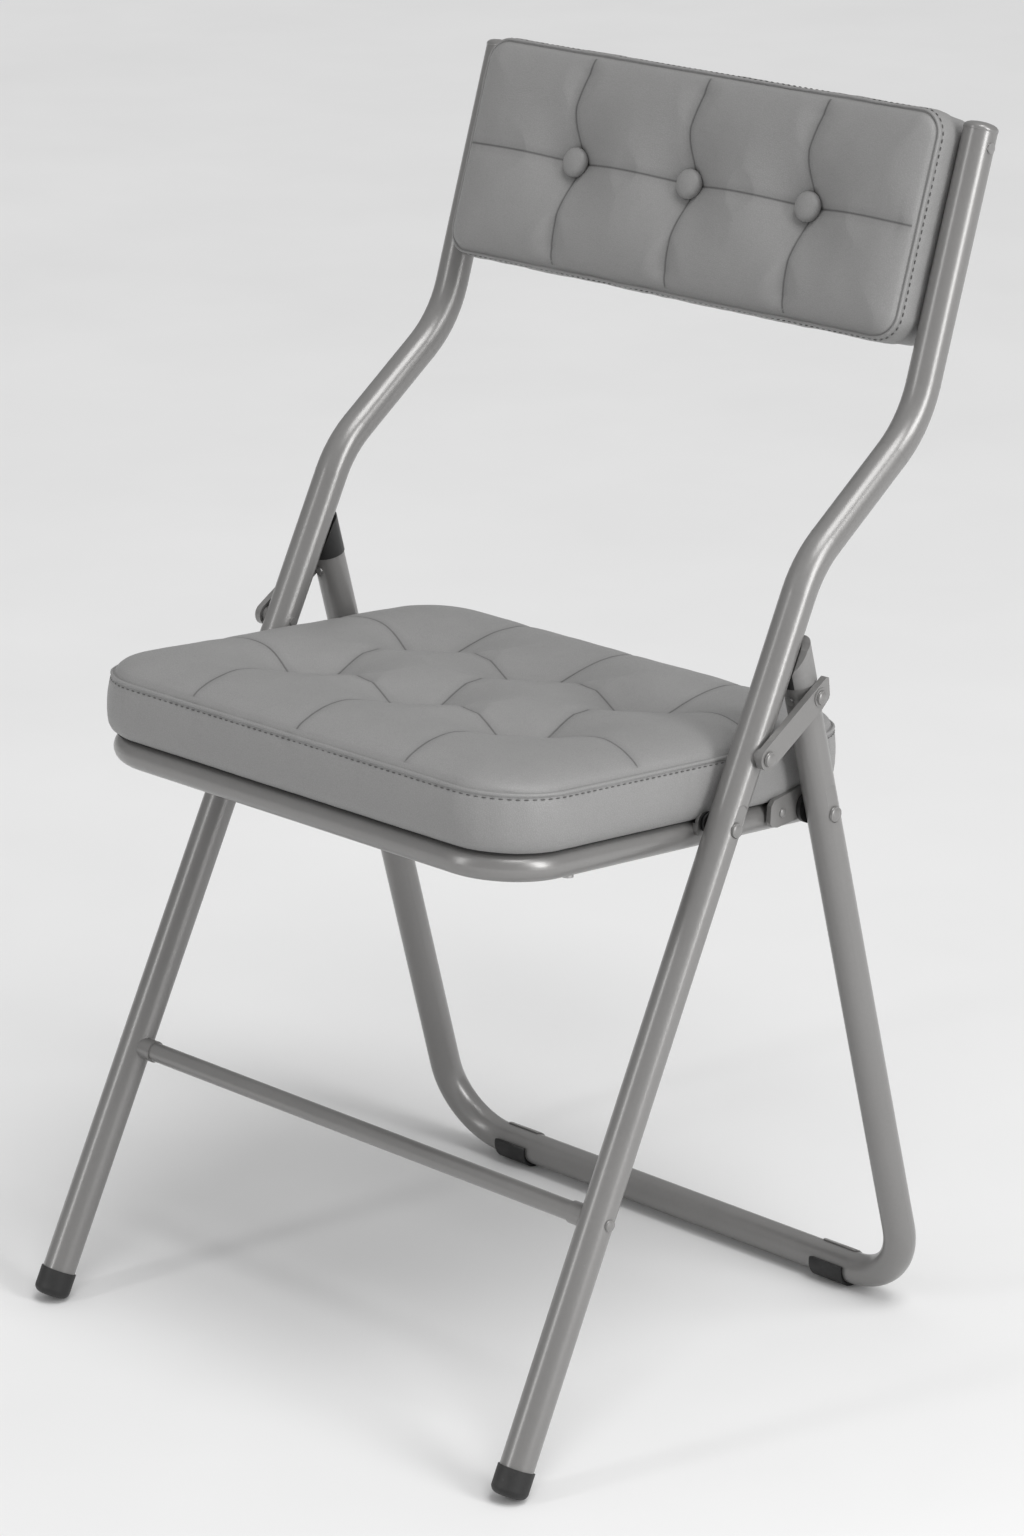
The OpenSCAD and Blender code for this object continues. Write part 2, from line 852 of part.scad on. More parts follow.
// Small rivet that keeps the stem of the end cap in the tube
module cap_rivets() {
    color(steel)
        on_rear_leg()
            for (side = [0, 1])
                mirror([side, 0, 0])
                    translate([rear_x, 0, rear_len - 9]) {
                        rotate([90, 0, 0])
                            translate([0, 0, rear_r - 3])
                                cylinder(h = 3.4, r = 1.6);
                        difference() {
                            rotate([90, 0, 0])
                                translate([0, 0, rear_r - 0.6])
                                    cylinder(h = 1.5, r = 2.8);
                            translate([0, 0, -10])
                                cylinder(h = 20, r = rear_r + 0.02);
                        }
                    }
}

// Pin that joins each arm of the rear leg to its bracket
module rear_pivot_rivets() {
    x1 = rear_x + rear_r - flat_depth;
    color(steel)
        for (side = [0, 1])
            mirror([side, 0, 0]) {
                across(rear_pivot, rail_x - rail_r - 1, x1 + 1, pin_r);
                across(rear_pivot, x1, x1 + 1.7, 4.8);
                across(rear_pivot, rail_x - rail_r - 2.2, rail_x - rail_r - 0.2, 3.8);
            }
}

// Dark spacer between each bracket and the rear leg
module rear_pivot_spacers() {
    color(dark)
        for (side = [0, 1])
            mirror([side, 0, 0])
                difference() {
                    across(rear_pivot, bracket_out + 0.15, rear_x - rear_r + 0.6, 10.5);
                    across(rear_pivot, bracket_out - 1, rear_x, pin_r + run_gap);
                    on_rear_leg()
                        rear_bar(rear_r + 0.02, 0);
                }
}

// Rubber saddle under the rear rail with a tab up the front and a thin one behind
module rear_clip() {
    color(dark)
        translate([rear_x - rear_bend_r - 28, rear_rail[0], rear_rail[1]])
            rotate([90, 0, 90]) {
                rotate([0, 0, 165])
                    rotate_extrude(angle = 195)
                        translate([rear_r + run_gap, 0])
                            square([clip_t - run_gap, 28]);
                rotate([0, 0, -2])
                    rotate_extrude(angle = 80)
                        translate([rear_r + run_gap, 0])
                            square([1.1, 28]);
            }
}

// ---- links ----

// Outline of the link from its front pivot at the origin, in from its edge by m
module link_outline(m) {
    w = link_w / 2 - m;
    union() {
        circle(r = w);
        polygon([[0, -w], [link_len - 3, -w], [link_len + 5 - m * 0.5, -w + 1.5],
            [link_len + 7 - m, -w + 3], [link_len + 12 - m, w - 1.5],
            [link_len + 10.5 - m, w], [0, w]]);
    }
}

// Pressed link with a folded edge, from the post to the rear leg
module link() {
    color(paint)
        translate([0, link_pivot[0], link_pivot[1]])
            rotate([link_angle, 0, 0])
                difference() {
                    translate([link_in, 0, 0])
                        rotate([90, 0, 90])
                            linear_extrude(height = link_depth)
                                link_outline(0);
                    translate([link_in - 1, 0, 0])
                        rotate([90, 0, 90])
                            linear_extrude(height = link_depth - link_web + 1)
                                link_outline(1.6);
                    translate([link_in - 1, 0, 0])
                        rotate([0, 90, 0])
                            cylinder(h = 20, r = pin_r + run_gap);
                    translate([link_in - 1, link_len, 0])
                        rotate([0, 90, 0])
                            cylinder(h = 20, r = pin_r + run_gap);
                }
}

// Rivet at the rear end of a link with its washer outside
module link_rear_rivet() {
    color(steel) {
        across(link_pin, link_in + 0.2, link_out + 1, pin_r);
        across(link_pin, link_out, link_out + 0.6, 6.2);
        across(link_pin, link_out, link_out + 2, 4.4);
    }
}

// Dark spacer behind the rear end of a link
module link_spacer() {
    color("#3a3a3a")
        difference() {
            across(link_pin, link_in, link_out - link_web, 4.9);
            across(link_pin, link_in - 1, link_out, pin_r + run_gap);
        }
}

module left() {
    mirror([1, 0, 0])
        children();
}

placed() {
    left() post();  // post_left
    post();  // post_right
    left() post_plug();  // post_plug_left
    post_plug();  // post_plug_right
    left() front_foot();  // front_foot_left
    front_foot();  // front_foot_right
    crossbar();
    crossbar_rivets();
    seat_pivot_rivets();
    pivot_bushes();
    link_front_rivets();
    back_cushion();
    back_board();
    back_cover();
    back_buttons();
    back_screws();
    back_tabs();
    seat_frame();
    left() seat_ear();  // seat_ear_left
    seat_ear();  // seat_ear_right
    seat_brace();
    rail_plugs();
    seat_board();
    seat_cushion();
    seat_screws();
    left() seat_bracket();  // seat_bracket_left
    seat_bracket();  // seat_bracket_right
    bracket_rivets();
    rear_leg();
    left() rear_cap();  // rear_cap_left
    rear_cap();  // rear_cap_right
    left() cap_cover();  // cap_cover_left
    cap_cover();  // cap_cover_right
    cap_rivets();
    rear_pivot_rivets();
    rear_pivot_spacers();
    left() rear_clip();  // rear_clip_left
    rear_clip();  // rear_clip_right
    left() link();  // link_left
    link();  // link_right
    left() link_rear_rivet();  // link_rear_rivet_left
    link_rear_rivet();  // link_rear_rivet_right
    left() link_spacer();  // link_spacer_left
    link_spacer();  // link_spacer_right
}
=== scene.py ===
"""Looks of a padded folding chair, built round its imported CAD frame."""
import json
import logging
import math
from dataclasses import dataclass, field
from enum import Enum
from typing import Sequence

import bmesh
import bpy
import numpy as np
from mathutils import Matrix, Vector, noise

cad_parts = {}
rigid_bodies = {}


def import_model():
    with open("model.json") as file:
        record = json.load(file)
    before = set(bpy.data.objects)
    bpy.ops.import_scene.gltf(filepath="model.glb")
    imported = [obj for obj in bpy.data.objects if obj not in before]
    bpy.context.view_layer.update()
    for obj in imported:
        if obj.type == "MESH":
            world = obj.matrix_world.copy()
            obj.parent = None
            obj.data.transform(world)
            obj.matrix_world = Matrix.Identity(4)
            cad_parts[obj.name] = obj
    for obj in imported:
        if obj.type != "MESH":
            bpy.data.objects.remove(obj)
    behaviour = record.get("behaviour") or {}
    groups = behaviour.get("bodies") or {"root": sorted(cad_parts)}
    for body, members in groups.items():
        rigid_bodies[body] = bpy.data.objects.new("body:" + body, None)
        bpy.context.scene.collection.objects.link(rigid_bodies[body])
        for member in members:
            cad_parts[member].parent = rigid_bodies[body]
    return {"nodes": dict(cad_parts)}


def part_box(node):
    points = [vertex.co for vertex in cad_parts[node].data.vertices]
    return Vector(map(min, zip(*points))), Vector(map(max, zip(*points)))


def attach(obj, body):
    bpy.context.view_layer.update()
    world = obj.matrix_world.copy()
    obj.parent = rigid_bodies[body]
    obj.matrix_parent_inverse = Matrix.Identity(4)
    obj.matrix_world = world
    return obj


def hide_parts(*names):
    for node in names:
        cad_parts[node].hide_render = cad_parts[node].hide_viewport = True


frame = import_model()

LOG = logging.getLogger("folding_chair")
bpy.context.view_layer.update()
MM = 0.001
SEAT_TILT = math.radians(5.5)
BACK_LEAN = math.radians(18.92)
PAD_RISE = 0.4 * MM
PAD_FRONT = 24 * MM
BOARD_SETBACK = 5 * MM

Point = tuple[float, float]
Colour = tuple[float, float, float]


class Body(Enum):
    """CAD bodies that pieces ride on."""

    FRONT = "front_frame"
    SEAT = "seat"
    REAR = "rear_leg"
    LINK_LEFT = "link_left"
    LINK_RIGHT = "link_right"


class Slot(Enum):
    """Material slots of the record."""

    PAINT = "paint"
    ZINC = "zinc"
    VINYL = "vinyl"
    PLASTIC = "black_plastic"
    RUBBER = "rubber"
    WOOD = "wood"


# ---- small helpers ----


def centre(node: str) -> Vector:
    """Middle of a CAD node's box.

    Args:
        node: Name of the CAD node.

    Returns:
        The middle point in metres.
    """
    lo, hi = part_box(node)
    return (Vector(lo) + Vector(hi)) / 2


def grey(value: int, warm: float = 0.0) -> Colour:
    """A grey from its screen value.

    Args:
        value: Screen value, 0 to 255.
        warm: Share by which red is raised and blue lowered.

    Returns:
        The linear colour.
    """
    s = value / 255
    lin = s / 12.92 if s <= 0.04045 else ((s + 0.055) / 1.055) ** 2.4
    return (lin * (1 + warm), lin, lin * (1 - warm))


def add_object(name: str, bm: bmesh.types.BMesh, smooth: bool = True) -> bpy.types.Object:
    """Turns a bmesh into an object at the origin and frees the bmesh.

    Args:
        name: Name of the piece.
        bm: The finished mesh.
        smooth: Whether its faces are shaded smooth.

    Returns:
        The new object.
    """
    mesh = bpy.data.meshes.new(name)
    for face in bm.faces:
        face.smooth = smooth
    bm.to_mesh(mesh)
    bm.free()
    obj = bpy.data.objects.new(name, mesh)
    bpy.context.scene.collection.objects.link(obj)
    return obj


def dress(obj: bpy.types.Object, material: bpy.types.Material) -> None:
    """Gives an object one material in every slot.

    Args:
        obj: The object.
        material: Its new material.
    """
    if not obj.material_slots:
        obj.data.materials.append(material)
    for slot in obj.material_slots:
        slot.material = material


@dataclass(frozen=True)
class Plane:
    """A tilted working plane of the chair: X across, s along it, h square to it."""

    y: float
    z: float
    tilt: float

    def matrix(self) -> Matrix:
        """Turns (x, s, h) into the row frame."""
        return Matrix.Translation((0, self.y, self.z)) @ Matrix.Rotation(-self.tilt, 4, "X")


def seat_plane() -> Plane:
    """The plane of the seat, from the pin that it turns on."""
    at = centre("seat_pivot_rivets")
    return Plane(at.y, at.z, SEAT_TILT)


def back_plane() -> Plane:
    """The plane between the ends of the posts, from the pad's own box."""
    _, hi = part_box("back_cushion")
    sn, cs = math.sin(BACK_LEAN), math.cos(BACK_LEAN)
    return Plane(
        hi[1] + BOARD_SETBACK * cs - PAD_RISE * sn, hi[2] - PAD_FRONT * sn - PAD_RISE * cs, BACK_LEAN
    )


# ---- shader tools ----


class Nodes:
    """Short ways to write a node tree."""

    def __init__(self, tree: bpy.types.NodeTree) -> None:
        """Keeps the tree that nodes are added to."""
        self.tree = tree

    def add(self, kind: str, **values: object) -> bpy.types.Node:
        """Adds a node and sets its properties and sockets.

        Args:
            kind: The node's type.
            **values: A property by its name, or a socket by its name with _ for a space.

        Returns:
            The new node.
        """
        node = self.tree.nodes.new(kind)
        for key, value in values.items():
            if hasattr(node, key):
                setattr(node, key, value)
            else:
                self.put(node.inputs[key.replace("_", " ")], value)
        return node

    def put(self, socket: bpy.types.NodeSocket, value: object) -> None:
        """Links a socket to another, or gives it a value."""
        if isinstance(value, bpy.types.NodeSocket):
            self.tree.links.new(value, socket)
        else:
            socket.default_value = value

    def math(self, operation: str, a: object, b: object = 0.0, clamp: bool = False) -> bpy.types.NodeSocket:
        """A Math node on two values.

        Args:
            operation: Its operation.
            a: First value or socket.
            b: Second value or socket.
            clamp: Whether the result stays between 0 and 1.

        Returns:
            The result's socket.
        """
        node = self.add("ShaderNodeMath", operation=operation, use_clamp=clamp)
        self.put(node.inputs[0], a)
        self.put(node.inputs[1], b)
        return node.outputs[0]

    def noise(self, where: object, scale: float, detail: float = 3.0,
              rough: float = 0.55) -> bpy.types.NodeSocket:
        """A noise value.

        Args:
            where: Socket of the coordinates.
            scale: Its scale per metre.
            detail: Its octaves.
            rough: How strong the fine octaves are.

        Returns:
            The value's socket.
        """
        node = self.add("ShaderNodeTexNoise", Scale=scale, Detail=detail, Roughness=rough)
        self.put(node.inputs["Vector"], where)
        return node.outputs["Fac"]

    def ramp(self, value: object, low: float, high: float, to_low: float = 0.0,
             to_high: float = 1.0) -> bpy.types.NodeSocket:
        """A value moved from one range to another, kept inside it.

        Args:
            value: The value's socket.
            low: Start of its range.
            high: End of its range.
            to_low: Result at the start.
            to_high: Result at the end.

        Returns:
            The result's socket.
        """
        node = self.add("ShaderNodeMapRange", clamp=True)
        parts = (("Value", value), ("From Min", low), ("From Max", high),
                 ("To Min", to_low), ("To Max", to_high))
        for key, part in parts:
            self.put(node.inputs[key], part)
        return node.outputs["Result"]

    def mix(self, factor: object, a: object, b: object, blend: str = "MIX") -> bpy.types.NodeSocket:
        """Two colours mixed.

        Args:
            factor: Share of the second one.
            a: First colour or socket.
            b: Second colour or socket.
            blend: How they mix.

        Returns:
            The colour's socket.
        """
        node = self.add("ShaderNodeMix", data_type="RGBA", blend_type=blend)
        self.put(node.inputs["Factor"], factor)
        self.put(node.inputs["A"], a)
        self.put(node.inputs["B"], b)
        return node.outputs["Result"]


def new_group(
    name: str, inputs: Sequence[tuple[str, str, object]], outputs: Sequence[tuple[str, str]],
) -> tuple[bpy.types.NodeTree, Nodes, bpy.types.Node, bpy.types.Node]:
    """An empty shader node group with named sockets.

    Args:
        name: Name of the group.
        inputs: Name, socket type and value of each input.
        outputs: Name and socket type of each output.

    Returns:
        The tree, its node tools, and its input and output nodes.
    """
    tree = bpy.data.node_groups.new(name, "ShaderNodeTree")
    for label, kind, value in inputs:
        socket = tree.interface.new_socket(label, in_out="INPUT", socket_type=kind)
        socket.default_value = value
    for label, kind in outputs:
        tree.interface.new_socket(label, in_out="OUTPUT", socket_type=kind)
    tools = Nodes(tree)
    return tree, tools, tools.add("NodeGroupInput"), tools.add("NodeGroupOutput")


FLOAT, COLOUR, VECTOR = "NodeSocketFloat", "NodeSocketColor", "NodeSocketVector"


class Groups:
    """Shader node groups that several finishes share, each built once."""

    def __init__(self) -> None:
        """Builds the groups."""
        self.mottle = self._mottle()
        self.grain = self._grain()
        self.wear = self._wear()

    def _mottle(self) -> bpy.types.NodeTree:
        """Slow and fine changes of a colour and its roughness."""
        tree, n, gi, go = new_group(
            "mottle",
            (("Colour", COLOUR, (0.3, 0.3, 0.3, 1)), ("Amount", FLOAT, 0.1), ("Scale", FLOAT, 6.0),
             ("Roughness", FLOAT, 0.4), ("Spread", FLOAT, 0.06)),
            (("Colour", COLOUR), ("Roughness", FLOAT)),
        )
        where = n.add("ShaderNodeTexCoord").outputs["Object"]
        slow = n.add("ShaderNodeTexNoise", Detail=4.0, Roughness=0.6)
        n.put(slow.inputs["Vector"], where)
        n.put(slow.inputs["Scale"], gi.outputs["Scale"])
        fine = n.noise(where, 420.0, 2.0)
        both = n.math("ADD", n.math("MULTIPLY", n.math("SUBTRACT", slow.outputs["Fac"], 0.5), 1.6),
                      n.math("MULTIPLY", n.math("SUBTRACT", fine, 0.5), 0.7))
        gain = n.math("ADD", 1.0, n.math("MULTIPLY", both, gi.outputs["Amount"]))
        shade = n.add("ShaderNodeVectorMath", operation="SCALE")
        n.put(shade.inputs[0], gi.outputs["Colour"])
        n.put(shade.inputs["Scale"], gain)
        n.put(go.inputs["Colour"], shade.outputs["Vector"])
        rough = n.math("ADD", gi.outputs["Roughness"], n.math("MULTIPLY", both, gi.outputs["Spread"]), True)
        n.put(go.inputs["Roughness"], rough)
        return tree

    def _grain(self) -> bpy.types.NodeTree:
        """Height of a pebbled leather grain with fine pores."""
        tree, n, gi, go = new_group(
            "pebble_grain", (("Scale", FLOAT, 900.0), ("Pores", FLOAT, 0.35)),
            (("Height", FLOAT), ("Valleys", FLOAT)),
        )
        where = n.add("ShaderNodeTexCoord").outputs["Object"]
        bend = n.add("ShaderNodeTexNoise", Scale=260.0, Detail=2.0)
        n.put(bend.inputs["Vector"], where)
        push = n.add("ShaderNodeVectorMath", operation="SCALE")
        n.put(push.inputs[0], bend.outputs["Color"])
        push.inputs["Scale"].default_value = 0.0016
        moved = n.add("ShaderNodeVectorMath", operation="ADD")
        n.put(moved.inputs[0], where)
        n.put(moved.inputs[1], push.outputs["Vector"])
        cells = n.add("ShaderNodeTexVoronoi", feature="DISTANCE_TO_EDGE")
        n.put(cells.inputs["Vector"], moved.outputs["Vector"])
        n.put(cells.inputs["Scale"], gi.outputs["Scale"])
        domes = n.ramp(cells.outputs["Distance"], 0.0, 0.22)
        fine = n.noise(where, 3400.0, 2.0, 0.6)
        height = n.math("ADD", domes, n.math("MULTIPLY", fine, gi.outputs["Pores"]))
        n.put(go.inputs["Height"], height)
        n.put(go.inputs["Valleys"], n.math("SUBTRACT", 1.0, domes, True))
        return tree

    def _wear(self) -> bpy.types.NodeTree:
        """Masks of small scuffs and of settled dust."""
        tree, n, gi, go = new_group(
            "scuff_and_dust", (("Scuffs", FLOAT, 0.3), ("Dust", FLOAT, 0.2)),
            (("Scuff", FLOAT), ("Dust", FLOAT)),
        )
        where = n.add("ShaderNodeTexCoord").outputs["Object"]
        stretch = n.add("ShaderNodeMapping", vector_type="POINT")
        n.put(stretch.inputs["Vector"], where)
        stretch.inputs["Rotation"].default_value = (0.5, 0.9, 0.3)
        stretch.inputs["Scale"].default_value = (1.0, 7.0, 2.0)
        streaks = n.noise(stretch.outputs["Vector"], 90.0, 5.0, 0.7)
        patches = n.noise(where, 14.0, 2.0)
        scuff = n.math("MULTIPLY", n.ramp(streaks, 0.66, 0.74), n.ramp(patches, 0.5, 0.62))
        n.put(go.inputs["Scuff"], n.math("MULTIPLY", scuff, gi.outputs["Scuffs"], True))
        up = n.add("ShaderNodeSeparateXYZ")
        n.put(up.inputs[0], n.add("ShaderNodeNewGeometry").outputs["Normal"])
        level = n.ramp(up.outputs["Z"], 0.2, 1.0)
        dust = n.math("MULTIPLY", level, n.ramp(n.noise(where, 40.0, 4.0, 0.65), 0.35, 0.75))
        n.put(go.inputs["Dust"], n.math("MULTIPLY", dust, gi.outputs["Dust"], True))
        return tree


def new_material(name: str) -> tuple[bpy.types.Material, Nodes, bpy.types.Node]:
    """A material with a bare Principled shader.

    Args:
        name: Name of the material.

    Returns:
        The material, its node tools and its shader.
    """
    material = bpy.data.materials.new(name)
    material.use_nodes = True
    tree = material.node_tree
    shader = next(node for node in tree.nodes if node.type == "BSDF_PRINCIPLED")
    return material, Nodes(tree), shader


def place_group(n: Nodes, tree: bpy.types.NodeTree, **values: object) -> bpy.types.Node:
    """Places a shared group in a material.

    Args:
        n: The material's node tools.
        tree: The group.
        **values: Its inputs by name.

    Returns:
        The group's node.
    """
    node = n.add("ShaderNodeGroup", node_tree=tree)
    for key, value in values.items():
        n.put(node.inputs[key], value)
    return node


@dataclass(frozen=True)
class Enamel:
    """Baked grey enamel on steel tube and plate."""

    name: str = "grey_enamel"
    colour: Colour = grey(131, 0.018)
    roughness: float = 0.31
    metallic: float = 0.35
    peel: float = 0.05

    def make(self, groups: Groups) -> bpy.types.Material:
        """Builds the material.

        Args:
            groups: Shared node groups.

        Returns:
            The material.
        """
        material, n, shader = new_material(self.name)
        base = place_group(n, groups.mottle, Colour=(*self.colour, 1), Amount=0.09, Scale=9.0,
                           Roughness=self.roughness, Spread=0.07)
        wear = place_group(n, groups.wear, Scuffs=0.35, Dust=0.22)
        pale = n.mix(wear.outputs["Scuff"], base.outputs["Colour"], (*grey(168, 0.01), 1))
        dusty = n.mix(wear.outputs["Dust"], pale, (*grey(158, 0.02), 1))
        n.put(shader.inputs["Base Color"], dusty)
        rough = n.math("ADD", base.outputs["Roughness"], n.math("MULTIPLY", wear.outputs["Dust"], 0.35), True)
        n.put(shader.inputs["Roughness"], rough)
        shader.inputs["Metallic"].default_value = self.metallic
        shader.inputs["Specular IOR Level"].default_value = 0.5
        shader.inputs["Coat Weight"].default_value = 0.25
        shader.inputs["Coat Roughness"].default_value = 0.22
        where = n.add("ShaderNodeTexCoord").outputs["Object"]
        skin = n.math("ADD", n.noise(where, 520.0, 2.0), n.math("MULTIPLY", n.noise(where, 70.0, 3.0), 0.8))
        bump = n.add("ShaderNodeBump", Strength=self.peel, Distance=0.001)
        n.put(bump.inputs["Height"], skin)
        n.put(shader.inputs["Normal"], bump.outputs["Normal"])
        return material


@dataclass(frozen=True)
class Vinyl:
    """Upholstery vinyl with a fine pressed grain, with painted shade darkening it in its folds and seam
    grooves.
    """

    name: str = "grey_vinyl"
    colour: Colour = grey(139, 0.008)
    roughness: float = 0.45
    grain: float = 0.16
    fold_shade_attribute: str = "fold"

    def make(self, groups: Groups) -> bpy.types.Material:
        """Builds the material.

        Args:
            groups: Shared node groups.

        Returns:
            The material.
        """
        material, n, shader = new_material(self.name)
        base = place_group(n, groups.mottle, Colour=(*self.colour, 1), Amount=0.07, Scale=7.0,
                           Roughness=self.roughness, Spread=0.05)
        pebble = place_group(n, groups.grain, Scale=760.0, Pores=0.4)
        wear = place_group(n, groups.wear, Scuffs=0.18, Dust=0.12)
        # Painted shade: the fold attribute pulls the colour toward grey 92 near folds, and toward grey 52
        # right in them and in the seam grooves.
        fold = n.add("ShaderNodeAttribute", attribute_name=self.fold_shade_attribute).outputs["Fac"]
        fold_shade_sharp = n.ramp(fold, 0.0, 0.0011, 1.0, 0.0)
        soft = n.ramp(fold, 0.0, 0.006, 1.0, 0.0)
        dark = n.math("MULTIPLY", pebble.outputs["Valleys"], 0.16)
        one = n.mix(dark, base.outputs["Colour"], (*grey(96, 0.01), 1))
        two = n.mix(n.math("MULTIPLY", soft, 0.22), one, (*grey(92, 0.01), 1))
        three = n.mix(n.math("MULTIPLY", fold_shade_sharp, 0.78), two, (*grey(52, 0.01), 1))
        four = n.mix(wear.outputs["Scuff"], three, (*grey(165, 0.01), 1))
        five = n.mix(wear.outputs["Dust"], four, (*grey(160, 0.01), 1))
        n.put(shader.inputs["Base Color"], five)
        duller = n.math("MULTIPLY", pebble.outputs["Valleys"], 0.12)
        rough = n.math("ADD", base.outputs["Roughness"], duller, True)
        n.put(shader.inputs["Roughness"], rough)
        shader.inputs["Specular IOR Level"].default_value = 0.45
        shader.inputs["Sheen Weight"].default_value = 0.06
        shader.inputs["Sheen Roughness"].default_value = 0.4
        slow = n.noise(n.add("ShaderNodeTexCoord").outputs["Object"], 120.0, 3.0)
        height = n.math("ADD", pebble.outputs["Height"], n.math("MULTIPLY", slow, 1.5))
        bump = n.add("ShaderNodeBump", Strength=self.grain, Distance=0.0006)
        n.put(bump.inputs["Height"], height)
        n.put(shader.inputs["Normal"], bump.outputs["Normal"])
        return material


@dataclass(frozen=True)
class Moulded:
    """Moulded plastic or rubber."""

    name: str
    colour: Colour
    roughness: float
    texture: float = 0.12
    dust: float = 0.3

    def make(self, groups: Groups) -> bpy.types.Material:
        """Builds the material.

        Args:
            groups: Shared node groups.

        Returns:
            The material.
        """
        material, n, shader = new_material(self.name)
        base = place_group(n, groups.mottle, Colour=(*self.colour, 1), Amount=0.25, Scale=25.0,
                           Roughness=self.roughness, Spread=0.1)
        wear = place_group(n, groups.wear, Scuffs=0.5, Dust=self.dust)
        one = n.mix(wear.outputs["Scuff"], base.outputs["Colour"], (*grey(105, 0.01), 1))
        two = n.mix(wear.outputs["Dust"], one, (*grey(120, 0.02), 1))
        n.put(shader.inputs["Base Color"], two)
        rough = n.math("ADD", base.outputs["Roughness"], n.math("MULTIPLY", wear.outputs["Dust"], 0.3), True)
        n.put(shader.inputs["Roughness"], rough)
        where = n.add("ShaderNodeTexCoord").outputs["Object"]
        skin = n.math("ADD", n.noise(where, 1500.0, 3.0), n.math("MULTIPLY", n.noise(where, 200.0, 2.0), 0.6))
        bump = n.add("ShaderNodeBump", Strength=self.texture, Distance=0.0006)
        n.put(bump.inputs["Height"], skin)
        n.put(shader.inputs["Normal"], bump.outputs["Normal"])
        return material


@dataclass(frozen=True)
class Plated:
    """Dull zinc plate on screws, plugs and rivet stems."""

    name: str = "dull_zinc"
    colour: Colour = grey(168, 0.01)
    roughness: float = 0.36

    def make(self, groups: Groups) -> bpy.types.Material:
        """Builds the material.

        Args:
            groups: Shared node groups.

        Returns:
            The material.
        """
        material, n, shader = new_material(self.name)
        base = place_group(n, groups.mottle, Colour=(*self.colour, 1), Amount=0.25, Scale=60.0,
                           Roughness=self.roughness, Spread=0.16)
        wear = place_group(n, groups.wear, Scuffs=0.5, Dust=0.2)
        dusty = n.mix(wear.outputs["Dust"], base.outputs["Colour"], (*grey(120, 0.03), 1))
        n.put(shader.inputs["Base Color"], dusty)
        n.put(shader.inputs["Roughness"], base.outputs["Roughness"])
        shader.inputs["Metallic"].default_value = 0.9
        where = n.add("ShaderNodeTexCoord").outputs["Object"]
        bump = n.add("ShaderNodeBump", Strength=0.12, Distance=0.0004)
        n.put(bump.inputs["Height"], n.noise(where, 1100.0, 3.0))
        n.put(shader.inputs["Normal"], bump.outputs["Normal"])
        return material


@dataclass(frozen=True)
class Plywood:
    """Plain plywood with long grain, for the hidden boards."""

    name: str = "pale_plywood"
    light: Colour = (0.46, 0.33, 0.2)
    dark: Colour = (0.27, 0.17, 0.09)

    def make(self, groups: Groups) -> bpy.types.Material:
        """Builds the material.

        Args:
            groups: Shared node groups.

        Returns:
            The material.
        """
        material, n, shader = new_material(self.name)
        where = n.add("ShaderNodeTexCoord").outputs["Object"]
        long = n.add("ShaderNodeMapping", vector_type="POINT")
        n.put(long.inputs["Vector"], where)
        long.inputs["Scale"].default_value = (1.0, 14.0, 14.0)
        bands = n.noise(long.outputs["Vector"], 22.0, 5.0, 0.65)
        pores = n.noise(long.outputs["Vector"], 160.0, 3.0, 0.6)
        fine = n.math("MULTIPLY", n.ramp(pores, 0.5, 0.75), 0.35)
        figure = n.math("ADD", n.ramp(bands, 0.3, 0.7), fine, True)
        n.put(shader.inputs["Base Color"], n.mix(figure, (*self.light, 1), (*self.dark, 1)))
        wear = place_group(n, groups.wear, Scuffs=0.3, Dust=0.2)
        n.put(shader.inputs["Roughness"], n.ramp(wear.outputs["Dust"], 0.0, 1.0, 0.6, 0.85))
        bump = n.add("ShaderNodeBump", Strength=0.2, Distance=0.0005)
        n.put(bump.inputs["Height"], figure)
        n.put(shader.inputs["Normal"], bump.outputs["Normal"])
        return material


@dataclass(frozen=True)
class Thread:
    """Twisted sewing thread."""

    name: str = "grey_thread"
    colour: Colour = grey(84, 0.01)

    def make(self, groups: Groups) -> bpy.types.Material:
        """Builds the material.

        Args:
            groups: Shared node groups.

        Returns:
            The material.
        """
        material, n, shader = new_material(self.name)
        base = place_group(n, groups.mottle, Colour=(*self.colour, 1), Amount=0.3, Scale=300.0,
                           Roughness=0.65, Spread=0.1)
        n.put(shader.inputs["Base Color"], base.outputs["Colour"])
        n.put(shader.inputs["Roughness"], base.outputs["Roughness"])
        where = n.add("ShaderNodeTexCoord").outputs["Object"]
        twist = n.add("ShaderNodeTexWave", wave_type="BANDS", bands_direction="DIAGONAL",
                      Scale=900.0, Distortion=0.5)
        n.put(twist.inputs["Vector"], where)
        bump = n.add("ShaderNodeBump", Strength=0.4, Distance=0.0003)
        n.put(bump.inputs["Height"], twist.outputs["Fac"])
        n.put(shader.inputs["Normal"], bump.outputs["Normal"])
        return material


